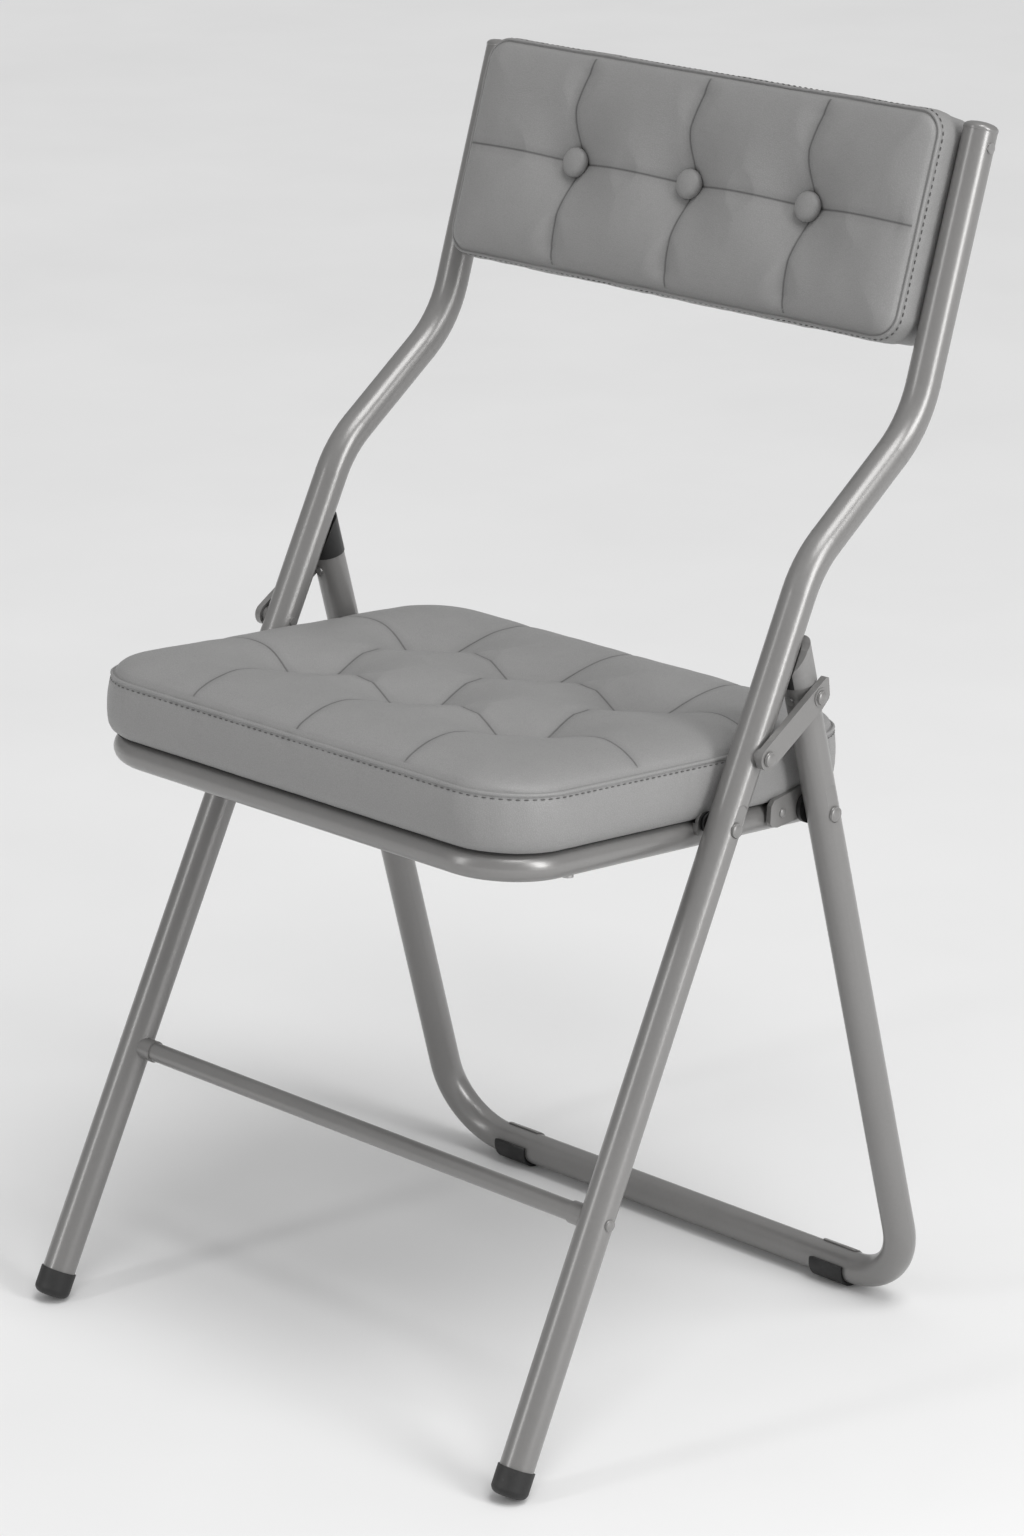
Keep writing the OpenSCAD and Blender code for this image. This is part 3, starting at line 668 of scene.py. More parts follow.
@dataclass(frozen=True)
class LiningGapShade:
    """Dark woven cloth under the seat, as a cambric liner would be, kept dark also as painted shade where the
    board's edge shows between cushion and rail.
    """

    name: str = "dark_lining_gap_shade"
    # Near black: the cloth's own colour, and also painted shade for the gap line under the cushion.
    colour: Colour = grey(44)
    threads: float = 1500.0

    def make(self, groups: Groups) -> bpy.types.Material:
        """Builds the material.

        Args:
            groups: Shared node groups.

        Returns:
            The material.
        """
        material, n, shader = new_material(self.name)
        base = place_group(n, groups.mottle, Colour=(*self.colour, 1), Amount=0.3, Scale=30.0,
                           Roughness=0.85, Spread=0.08)
        where = n.add("ShaderNodeTexCoord").outputs["Object"]
        weave = []
        for axis in ("X", "Y"):
            wave_node = n.add("ShaderNodeTexWave", wave_type="BANDS", bands_direction=axis,
                              Scale=self.threads)
            n.put(wave_node.inputs["Vector"], where)
            weave.append(wave_node.outputs["Fac"])
        cloth = n.math("MAXIMUM", *weave)
        n.put(shader.inputs["Base Color"], n.mix(cloth, (*grey(28), 1), base.outputs["Colour"]))
        n.put(shader.inputs["Roughness"], base.outputs["Roughness"])
        bump = n.add("ShaderNodeBump", Strength=0.5, Distance=0.0003)
        n.put(bump.inputs["Height"], cloth)
        n.put(shader.inputs["Normal"], bump.outputs["Normal"])
        return material


class Finishes:
    """Every finish of the chair, made once."""

    def __init__(self) -> None:
        """Makes the shared groups and the materials."""
        groups = Groups()
        self.enamel = Enamel().make(groups)
        self.vinyl = Vinyl().make(groups)
        self.plastic = Moulded("black_plastic", grey(34), 0.38).make(groups)
        self.rubber = Moulded("black_rubber", grey(30), 0.55, 0.2, 0.35).make(groups)
        self.cover = Moulded("grey_cap_cover", grey(128, 0.015), 0.42, 0.08, 0.1).make(groups)
        self.zinc = Plated().make(groups)
        self.wood = Plywood().make(groups)
        self.thread = Thread().make(groups)
        self.lining_gap_shade = LiningGapShade().make(groups)


# ---- padding ----


@dataclass(frozen=True)
class Crease:
    """A fold pressed into a padded panel, as a smooth curve through points."""

    points: tuple[Point, ...]
    valley: float
    width: float
    cusp: tuple[float, float, float]

    def sampled(self, steps: int = 24) -> np.ndarray:
        """Points along the curve.

        Args:
            steps: Points between two neighbours of its own.

        Returns:
            An array of x, s and the share of the way along.
        """
        p = [np.array(q) for q in self.points]
        p = [2 * p[0] - p[1], *p, 2 * p[-1] - p[-2]]
        out = []
        for i in range(1, len(p) - 2):
            for t in np.arange(steps) / steps:
                a, b, c, d = p[i - 1], p[i], p[i + 1], p[i + 2]
                out.append(0.5 * (2 * b + (c - a) * t + (2 * a - 5 * b + 4 * c - d) * t * t
                                  + (3 * b - a - 3 * c + d) * t ** 3))
        out.append(p[-2])
        line = np.array(out)
        run = np.concatenate(([0], np.cumsum(np.linalg.norm(np.diff(line, axis=0), axis=1))))
        return np.column_stack((line, run / run[-1]))

    def near(self, xy: np.ndarray) -> tuple[np.ndarray, np.ndarray, np.ndarray]:
        """Where the curve passes closest to each point.

        Args:
            xy: Points of the panel.

        Returns:
            Distance, share of the way along, and the closest point.
        """
        line = self.sampled()
        best = np.full(len(xy), 1e9)
        share = np.zeros(len(xy))
        foot = np.zeros((len(xy), 2))
        for a, b in zip(line[:-1], line[1:]):
            step = b[:2] - a[:2]
            t = np.clip(((xy - a[:2]) @ step) / max(float(step @ step), 1e-12), 0, 1)
            close = a[:2] + t[:, None] * step
            gap = np.linalg.norm(xy - close, axis=1)
            pick = gap < best
            best[pick] = gap[pick]
            share[pick] = (a[2] + t * (b[2] - a[2]))[pick]
            foot[pick] = close[pick]
        return best, share, foot


@dataclass(frozen=True)
class Tuft:
    """A place where a panel is pulled down: a short line and how deep and wide the dimple is."""

    start: Point
    end: Point
    depth: float
    spread: float

    def pull(self, xy: np.ndarray) -> np.ndarray:
        """How far it pulls each point down."""
        a, b = np.array(self.start), np.array(self.end)
        step = b - a
        t = np.clip(((xy - a) @ step) / max(float(step @ step), 1e-12), 0, 1)
        gap = np.linalg.norm(xy - (a + t[:, None] * step), axis=1)
        return self.depth * np.exp(-((gap / self.spread) ** 1.6))


@dataclass
class Panel:
    """One face of a padded piece over a rounded rectangle, in metres."""

    half_x: float
    s0: float
    s1: float
    corner: float
    crown: float
    rise: float
    creases: tuple[Crease, ...] = ()
    tufts: tuple[Tuft, ...] = ()
    step: float = 0.0017

    def grid(self, bm: bmesh.types.BMesh) -> None:
        """Adds a flat grid fitted to the rounded outline.

        Args:
            bm: Mesh the grid goes into.
        """
        nx = int(2 * self.half_x / self.step)
        ny = int((self.s1 - self.s0) / self.step)
        bmesh.ops.create_grid(bm, x_segments=nx, y_segments=ny, size=1.0)
        half_s = (self.s1 - self.s0) / 2
        mid = (self.s0 + self.s1) / 2
        for v in bm.verts:
            x, y = v.co.x * self.half_x, v.co.y * half_s
            ax, ay, r = abs(x), abs(y), self.corner
            cx, cy = ax - (self.half_x - r), ay - (half_s - r)
            if cx > 0 and cy > 0:
                a, b = cx / r, cy / r
                ax = self.half_x - r + r * a * math.sqrt(1 - b * b / 2)
                ay = half_s - r + r * b * math.sqrt(1 - a * a / 2)
            v.co = Vector((math.copysign(ax, x), math.copysign(ay, y) + mid, 0))

    def inset(self, xy: np.ndarray) -> np.ndarray:
        """Distance of each point inside the rounded outline."""
        mid, half_s = (self.s0 + self.s1) / 2, (self.s1 - self.s0) / 2
        q = np.abs(xy - np.array((0, mid))) - np.array((self.half_x - self.corner, half_s - self.corner))
        outside = np.linalg.norm(np.maximum(q, 0), axis=1)
        return self.corner - outside - np.minimum(np.maximum(q[:, 0], q[:, 1]), 0)

    def outward(self, x: float, s: float) -> Vector:
        """Direction out of the outline at a point on it."""
        mid, half_s = (self.s0 + self.s1) / 2, (self.s1 - self.s0) / 2
        qx = abs(x) - (self.half_x - self.corner)
        qs = abs(s - mid) - (half_s - self.corner)
        away = Vector((math.copysign(max(qx, 0), x), math.copysign(max(qs, 0), s - mid), 0))
        return away.normalized() if away.length > 1e-9 else Vector((0, 1, 0))

    def heights(self, xy: np.ndarray) -> tuple[np.ndarray, np.ndarray, np.ndarray]:
        """The padded surface over points of the panel.

        Args:
            xy: Points of the panel.

        Returns:
            Points snapped on to the folds, heights over the outline, and distance to the nearest fold.
        """
        edge = np.clip(self.inset(xy), 0, None)
        swell = np.sqrt(np.clip(1 - (1 - np.clip(edge / self.rise, 0, 1)) ** 2, 0, 1))
        z = self.crown * swell
        fold = np.full(len(xy), 1.0)
        sink = np.zeros(len(xy))
        sharp = np.zeros(len(xy))
        out = xy.copy()
        for crease in self.creases:
            gap, share, foot = crease.near(xy)
            near = (gap < 0.62 * self.step) & (edge > 2 * self.step)
            out[near] = xy[near] + (foot[near] - xy[near]) * 0.95
            gap = np.where(near, gap * 0.05, gap)
            fold = np.minimum(fold, gap)
            ends = np.where(share < 0.5, crease.cusp[0], crease.cusp[2])
            blend = np.abs(2 * share - 1) ** 2.2
            depth = crease.cusp[1] + (ends - crease.cusp[1]) * blend
            sharp = np.maximum(sharp, depth * np.exp(-gap / (crease.width * 0.32)))
            middle = np.sin(np.pi * np.clip(share, 0, 1)) ** 0.6
            sink = np.maximum(sink, crease.valley * middle * np.exp(-((gap / crease.width) ** 2)))
        pull = np.zeros(len(xy))
        for tuft in self.tufts:
            pull = np.maximum(pull, tuft.pull(xy))
        fade = np.clip(edge / 0.012, 0, 1)
        z = z - (np.maximum(pull, sink) + sharp * 0.9) * fade
        return out, z, fold


@dataclass
class Ring:
    """One ring of the side band: how far out of the outline, how high, and how near a fold, which sets the
    painted shade that the vinyl puts there.
    """

    out: float
    h: float
    fold: float = 1.0


def wave(x: float, y: float, scale: float, seed: float) -> float:
    """Smooth noise between about -1 and 1 at a point in metres."""
    return noise.noise(Vector((x * scale, y * scale, seed)))


@dataclass
class PaddedPiece:
    """A cushion: a padded panel, its side band and its other face."""

    name: str
    panel: Panel
    rings: tuple[Ring, ...]
    plane: Plane
    frame_turn: Matrix
    back_crown: float = 0.0
    pucker: float = 0.0004
    drape: float = 0.0005

    def build(self) -> bpy.types.Object:
        """Builds the closed cushion.

        Returns:
            The cushion's object in the row frame.
        """
        bm = bmesh.new()
        self.panel.grid(bm)
        rim = bm.verts.layers.float_vector.new("rim")
        out = bm.verts.layers.float_vector.new("out")
        edges = [e for e in bm.edges if e.is_boundary]
        start = self.rings[0]
        for v in {v for e in edges for v in e.verts}:
            v[rim] = v.co
            v[out] = self.panel.outward(v.co.x, v.co.y)
        bm.verts.ensure_lookup_table()
        xy = np.array([v.co[:2] for v in bm.verts])
        moved, z, fold = self.panel.heights(xy)
        # The fold layer holds each point's distance to the nearest fold; the vinyl turns small values into
        # painted shade.
        shade = bm.verts.layers.float.new("fold")
        for v, p, h, f in zip(bm.verts, moved, z, fold):
            slow = self.drape * (wave(p[0], p[1], 22, 3.1) + 0.5 * wave(p[0], p[1], 60, 7.7))
            keep = 0.0 if v.is_boundary else 1.0
            v.co = Vector((p[0], p[1], start.h + h + slow * keep))
            v[shade] = f
        for v in {v for e in edges for v in e.verts}:
            v.co = v[rim] + v[out] * start.out
            v.co.z = start.h
            v[shade] = start.fold
        for ring in self.rings[1:]:
            made = bmesh.ops.extrude_edge_only(bm, edges=edges)["geom"]
            edges = [g for g in made if isinstance(g, bmesh.types.BMEdge) and g.is_boundary]
            for v in {v for e in edges for v in e.verts}:
                base, away = v[rim], v[out]
                ripple = self.pucker * wave(base.x, base.y, 95, ring.h * 40)
                ripple += self.drape * wave(base.x, base.y, 18, ring.h * 25)
                v.co = base + away * (ring.out + ripple)
                v.co.z = ring.h + 0.3 * ripple
                v[shade] = ring.fold
        self.close(bm, edges)
        bmesh.ops.recalc_face_normals(bm, faces=bm.faces)
        bm.transform(self.plane.matrix() @ self.frame_turn)
        return add_object(self.name, bm)

    def close(self, bm: bmesh.types.BMesh, edges: list[bmesh.types.BMEdge]) -> None:
        """Closes the far face, flat or padded.

        Args:
            bm: The cushion's mesh.
            edges: Its open edges.
        """
        last = self.rings[-1]
        loop = edges
        for part in (0.12, 0.3, 0.5, 0.72):
            made = bmesh.ops.extrude_edge_only(bm, edges=loop)["geom"]
            loop = [g for g in made if isinstance(g, bmesh.types.BMEdge) and g.is_boundary]
            mid = (self.panel.s0 + self.panel.s1) / 2
            for v in {v for e in loop for v in e.verts}:
                v.co.x *= 1 - part if part == 0.12 else 1 - 0.3
                v.co.y = mid + (v.co.y - mid) * (1 - part if part == 0.12 else 1 - 0.3)
                far = 1 - (1 - min(1.0, part * 1.6)) ** 2
                v.co.z = last.h - self.back_crown * far
        bmesh.ops.edgeloop_fill(bm, edges=loop)


def stitch_row(name: str, panel: Panel, out: float, h: float, matrix: Matrix, pitch: float = 0.0052,
               length: float = 0.0034, radius: float = 0.00042) -> bpy.types.Object:
    """A row of stitches round a padded piece.

    Args:
        name: Name of the piece.
        panel: Panel whose outline the row follows.
        out: Distance of the row out of the outline.
        h: Height of the row.
        matrix: Turns the panel's frame into the row frame.
        pitch: Distance between stitches.
        length: Length of a stitch.
        radius: Radius of the thread.

    Returns:
        The row as one object.
    """
    r = panel.corner + out
    hx, s0, s1 = panel.half_x - panel.corner, panel.s0 + panel.corner, panel.s1 - panel.corner
    quarter = math.pi / 2 * r
    runs = (
        (2 * hx, lambda t: (Vector((-hx + t, s0 - r, 0)), 0.0)),
        (quarter, lambda t: (Vector((hx + r * math.sin(t / r), s0 - r * math.cos(t / r), 0)), t / r)),
        (s1 - s0, lambda t: (Vector((hx + r, s0 + t, 0)), math.pi / 2)),
        (quarter, lambda t: (Vector((hx + r * math.cos(t / r), s1 + r * math.sin(t / r), 0)),
                             math.pi / 2 + t / r)),
        (2 * hx, lambda t: (Vector((hx - t, s1 + r, 0)), math.pi)),
        (quarter, lambda t: (Vector((-hx - r * math.sin(t / r), s1 + r * math.cos(t / r), 0)),
                             math.pi + t / r)),
        (s1 - s0, lambda t: (Vector((-hx - r, s1 - t, 0)), 1.5 * math.pi)),
        (quarter, lambda t: (Vector((-hx - r * math.cos(t / r), s0 - r * math.sin(t / r), 0)),
                             1.5 * math.pi + t / r)),
    )
    total = sum(run for run, _ in runs)
    count = int(total / pitch)
    bm = bmesh.new()
    for k in range(count):
        t = (k + 0.5) * total / count
        for run, at in runs:
            if t <= run:
                break
            t -= run
        place, turn = at(t)
        place.z = h
        local = Matrix.Translation(place) @ Matrix.Rotation(turn, 4, "Z")
        made = bmesh.ops.create_icosphere(bm, subdivisions=1, radius=1.0)["verts"]
        squash = Matrix.Diagonal((length / 2, radius, radius * 1.1, 1))
        bmesh.ops.transform(bm, matrix=matrix @ local @ squash, verts=made)
    return add_object(name, bm)


@dataclass
class Seat:
    """The tufted seat cushion, sewn round its edge."""

    finishes: Finishes
    half_x: float = 0.196
    front: float = -0.1745
    back: float = 0.150
    corner: float = 0.050
    piping: float = 0.0390
    tuft_x: tuple[float, ...] = (-0.100, -0.004, 0.092)
    rows: tuple[float, ...] = (-0.0585, 0.0490)
    tuft_half: float = 0.0085
    objects: list[bpy.types.Object] = field(default_factory=list)

    def folds(self) -> tuple[tuple[Crease, ...], tuple[Tuft, ...]]:
        """Folds and tufts: each tuft is a short slanting line that folds run from at both ends.

        Returns:
            The folds and the tufts.
        """
        d = self.tuft_half
        lines, tufts = [], []
        edge = (0.0012, 0.0008, 0.0040)
        inner = (0.0040, 0.0018, 0.0040)
        for j, s in enumerate(self.rows):
            for i, x in enumerate(self.tuft_x):
                low, high = (x - d, s - d), (x + d, s + d)
                tufts.append(Tuft(low, high, 0.0135, 0.031))
                lines.append(Crease((low, (x, s), high), 0.0, 0.010, (0.0030, 0.0030, 0.0030)))
                if i + 1 < len(self.tuft_x):
                    far = (self.tuft_x[i + 1] - d, s - d)
                    mid = ((high[0] + far[0]) / 2, (high[1] + far[1]) / 2 + 0.001)
                    lines.append(Crease((high, mid, far), 0.0052, 0.017, inner))
                if i == 0:
                    run = ((-self.half_x, s - 0.004), (-0.150, s + 0.002), low)
                    lines.append(Crease(run, 0.0, 0.012, edge))
                if i == len(self.tuft_x) - 1:
                    run = ((self.half_x, s - 0.003), (0.144, s + 0.010), high)
                    lines.append(Crease(run, 0.0, 0.012, edge))
                if j == 0:
                    start = (x + 0.010, self.front)
                    lines.append(Crease((start, (x - 0.002, self.front + 0.055), low), 0.0, 0.012, edge))
                    far = (x - d, self.rows[1] - d)
                    mid = ((high[0] + far[0]) / 2 - 0.001, (high[1] + far[1]) / 2)
                    lines.append(Crease((high, mid, far), 0.0036, 0.017, inner))
                else:
                    run = ((x + 0.004, self.back), (x + 0.012, self.back - 0.045), high)
                    lines.append(Crease(run, 0.0, 0.012, edge))
        return tuple(lines), tuple(tufts)

    def panel(self) -> Panel:
        """The padded top of the cushion."""
        creases, tufts = self.folds()
        return Panel(self.half_x - 0.002, self.front + 0.002, self.back - 0.002, self.corner - 0.002,
                     0.0140, 0.052, creases, tufts)

    def build(self) -> list[bpy.types.Object]:
        """Builds the cushion and its stitches.

        Returns:
            The new pieces.
        """
        p = self.piping
        # A third value in a ring draws a painted shade line in the seam grooves beside the welt.
        profile = (
            (0.0, p - 0.0001), (0.0005, p - 0.0007, 0.0), (0.0009, p - 0.0002), (0.0014, p + 0.0003),
            (0.0021, p + 0.0002), (0.0026, p - 0.0003), (0.0028, p - 0.0010), (0.0026, p - 0.0017),
            (0.0021, p - 0.0022, 0.001), (0.0023, p - 0.0029, 0.002), (0.0025, p - 0.0036, 0.0012),
            (0.0028, p - 0.0044), (0.0034, p - 0.0080),
            (0.0041, p - 0.0130), (0.0044, p - 0.0185), (0.0043, p - 0.0240), (0.0038, p - 0.0290),
            (0.0028, p - 0.0330), (0.0010, p - 0.0362), (-0.0016, p - 0.0380), (-0.0030, p - 0.0389),
        )
        piece = PaddedPiece("seat_padding", self.panel(), tuple(Ring(*q) for q in profile),
                            seat_plane(), Matrix.Identity(4))
        pad = piece.build()
        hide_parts("seat_cushion")
        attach(pad, Body.SEAT.value)
        dress(pad, self.finishes.vinyl)
        row = stitch_row("seat_stitching", self.panel(), 0.0026, p - 0.0035, seat_plane().matrix())
        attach(row, Body.SEAT.value)
        dress(row, self.finishes.thread)
        self.objects += [pad, row]
        return self.objects


@dataclass
class BackPad:
    """The buttoned back pad between the posts."""

    finishes: Finishes
    half_x: float = 0.1973
    top: float = PAD_RISE
    height: float = 0.144
    corner: float = 0.016
    front: float = PAD_FRONT
    rear: float = 0.022
    pitch: float = 0.103
    button_r: float = 0.0100
    objects: list[bpy.types.Object] = field(default_factory=list)

    def columns(self) -> tuple[float, ...]:
        """Places of the buttons across the pad."""
        return (-self.pitch, 0.0, self.pitch)

    def panel(self) -> Panel:
        """The padded front: a fold along the row of buttons and one up and down from each."""
        mid = self.top - self.height / 2
        lo, hi = self.top - self.height, self.top
        lines, tufts = [], []
        stops = (-self.half_x, *self.columns(), self.half_x)
        for a, b in zip(stops[:-1], stops[1:]):
            ends = (0.0012 if a == stops[0] else 0.0034, 0.0012, 0.0012 if b == stops[-1] else 0.0034)
            lines.append(Crease(((a, mid), ((a + b) / 2, mid + 0.0008), (b, mid)), 0.0026, 0.015, ends))
        for x in self.columns():
            tufts.append(Tuft((x - 0.001, mid), (x + 0.001, mid), 0.0150, 0.027))
            up = ((x + 0.0015, mid + 0.006), (x - 0.0040, mid + 0.034),
                  (x + 0.0035, hi - 0.006), (x + 0.0050, hi))
            down = ((x + 0.0015, mid - 0.006), (x - 0.0010, mid - 0.032),
                    (x + 0.0004, mid - 0.056), (x + 0.0055, lo))
            for line in (up, down):
                lines.append(Crease(line, 0.0030, 0.013, (0.0028, 0.0028, 0.0012)))
        inset = 0.001
        return Panel(self.half_x - inset, lo + inset, hi - inset, self.corner - inset, 0.0078, 0.030,
                     tuple(lines), tuple(tufts), 0.0015)

    def build(self) -> list[bpy.types.Object]:
        """Builds the pad, its stitches and its buttons.

        Returns:
            The new pieces.
        """
        f, r = self.front, -self.rear
        # A third value in a ring draws a painted shade line in the seam grooves beside the welt.
        profile = (
            (0.0, f - 0.0002), (0.0005, f - 0.0007, 0.0), (0.0009, f - 0.0001), (0.0014, f + 0.0004),
            (0.0021, f + 0.0003), (0.0026, f - 0.0003), (0.0028, f - 0.0010), (0.0027, f - 0.0018, 0.002),
            (0.0026, f - 0.0026, 0.0012), (0.0028, f - 0.0034, 0.0012),
            (0.0031, f - 0.0044), (0.0037, f - 0.0085),
            (0.0040, f - 0.0130), (0.0036, f - 0.0180), (0.0026, f - 0.0230), (0.0022, f - 0.0290),
            (0.0018, f - 0.0360), (0.0010, r + 0.0050), (0.0004, r + 0.0026), (0.0001, r + 0.0019, 0.0006),
            (0.0006, r + 0.0012), (0.0004, r + 0.0004), (-0.0004, r - 0.0001), (-0.0013, r + 0.0001),
            (-0.0018, r + 0.0006, 0.0004), (-0.0030, r + 0.0003),
        )
        turn = Matrix.Rotation(math.pi / 2, 4, "X")
        piece = PaddedPiece("back_padding", self.panel(), tuple(Ring(*q) for q in profile),
                            back_plane(), turn, 0.0035)
        pad = piece.build()
        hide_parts("back_cushion", "back_cover")
        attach(pad, Body.FRONT.value)
        dress(pad, self.finishes.vinyl)
        matrix = back_plane().matrix() @ turn
        row = stitch_row("back_stitching", self.panel(), 0.0030, f - 0.0032, matrix, 0.0048, 0.0031, 0.00045)
        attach(row, Body.FRONT.value)
        dress(row, self.finishes.thread)
        buttons = self.buttons(matrix)
        self.objects += [pad, row, buttons]
        return self.objects

    def buttons(self, matrix: Matrix) -> bpy.types.Object:
        """Covered buttons, domed with a rolled edge.

        Args:
            matrix: Turns the pad's frame into the row frame.

        Returns:
            The buttons as one object.
        """
        mid = self.top - self.height / 2
        base = self.front - 0.0030
        profile = ((0.0, 0.0040), (0.0035, 0.0038), (0.0065, 0.0032), (0.0085, 0.0022), (0.0097, 0.0008),
                   (0.0100, -0.0006), (0.0099, -0.0020), (0.0092, -0.0034), (0.0080, -0.0050), (0.0, -0.0058))
        bm = bmesh.new()
        for x in self.columns():
            verts = spin_profile(bm, [(q * self.button_r / 0.0100, h) for q, h in profile], 40)
            bmesh.ops.transform(bm, matrix=matrix @ Matrix.Translation((x, mid, base)), verts=verts)
        bmesh.ops.recalc_face_normals(bm, faces=bm.faces)
        obj = add_object("back_button_caps", bm)
        # A fold value of 1 keeps the vinyl's painted fold shade off the buttons.
        shade = obj.data.attributes.new("fold", "FLOAT", "POINT")
        shade.data.foreach_set("value", [1.0] * len(obj.data.vertices))
        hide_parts("back_buttons")
        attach(obj, Body.FRONT.value)
        dress(obj, self.finishes.vinyl)
        return obj


def spin_profile(bm: bmesh.types.BMesh, profile: Sequence[Point], steps: int) -> list[bmesh.types.BMVert]:
    """Spins a profile of (radius, height) round Z into a closed shape.

    Args:
        bm: Mesh the shape goes into.
        profile: Points from the axis at one end to the axis at the other.
        steps: Faces round the axis.

    Returns:
        The new vertices.
    """
    before = set(bm.verts)
    verts = [bm.verts.new((q, 0, h)) for q, h in profile]
    edges = [bm.edges.new(pair) for pair in zip(verts[:-1], verts[1:])]
    bmesh.ops.spin(bm, geom=verts + edges, cent=(0, 0, 0), axis=(0, 0, 1), angle=2 * math.pi, steps=steps,
                   use_merge=True)
    fresh = [v for v in bm.verts if v not in before]
    bmesh.ops.remove_doubles(bm, verts=fresh, dist=1e-6)
    return [v for v in bm.verts if v not in before]


@dataclass(frozen=True)
class Head:
    """A round rivet or screw head on an axis along X."""

    radius: float
    height: float

    def add(self, bm: bmesh.types.BMesh, at: Vector, side: float) -> None:
        """Adds the head.

        Args:
            bm: Mesh it goes into.
            at: Middle of its seat.
            side: 1 to face +X, -1 to face -X.
        """
        r, h = self.radius, self.height
        profile = ((0.0, h), (r * 0.35, h * 0.96), (r * 0.65, h * 0.82),
                   (r * 0.88, h * 0.55), (r * 0.98, h * 0.25),
                   (r, 0.0), (r * 0.96, -0.0003), (0.0, -0.0003))
        verts = spin_profile(bm, profile, 28)
        turn = Matrix.Rotation(math.pi / 2 * side, 4, "Y")
        bmesh.ops.transform(bm, matrix=Matrix.Translation(at) @ turn, verts=verts)


@dataclass
class Hardware:
    """Rivet heads that stand for the plain ends of the CAD pins."""

    finishes: Finishes
    objects: list[bpy.types.Object] = field(default_factory=list)

    def caps(self, name: str, node: str, body: Body, head: Head, sides: Sequence[float],
             sink: float) -> bpy.types.Object:
        """Domed heads over the outer ends of a node's pins.

        Args:
            name: Name of the piece.
            node: CAD node with the pins along X.
            body: Body that they ride on.
            head: Shape of a head.
            sides: Sides of the chair that get one.
            sink: Depth of the head's seat below the pin's end.

        Returns:
            The heads as one object.
        """
        lo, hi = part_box(node)
        mid = centre(node)
        bm = bmesh.new()
        for side in sides:
            x = hi[0] - sink if side > 0 else lo[0] + sink
            head.add(bm, Vector((x, mid.y, mid.z)), side)
        bmesh.ops.recalc_face_normals(bm, faces=bm.faces)
        obj = add_object(name, bm)
        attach(obj, body.value)
        dress(obj, self.finishes.enamel)
        self.objects.append(obj)
        return obj

    def build(self) -> list[bpy.types.Object]:
        """Builds every head.

        Returns:
            The new pieces.
        """
        both = (1.0, -1.0)
        self.caps("seat_pivot_heads", "seat_pivot_rivets", Body.FRONT, Head(0.0049, 0.0021), both, 0.0014)
        self.caps("link_front_heads", "link_front_rivets", Body.FRONT, Head(0.0050, 0.0021), both, 0.0014)
        self.caps("rear_pivot_heads", "rear_pivot_rivets", Body.REAR, Head(0.0051, 0.0021), both, 0.0014)
        small = Head(0.0047, 0.0020)
        self.caps("link_rear_head_right", "link_rear_rivet_right", Body.LINK_RIGHT, small, (1.0,), 0.0013)
        self.caps("link_rear_head_left", "link_rear_rivet_left", Body.LINK_LEFT, small, (-1.0,), 0.0013)
        self.caps("bracket_heads", "bracket_rivets", Body.SEAT, Head(0.0031, 0.0014), both, 0.0007)
        self.caps("crossbar_heads", "crossbar_rivets", Body.FRONT, Head(0.0040, 0.0016), both, 0.0011)
        return self.objects


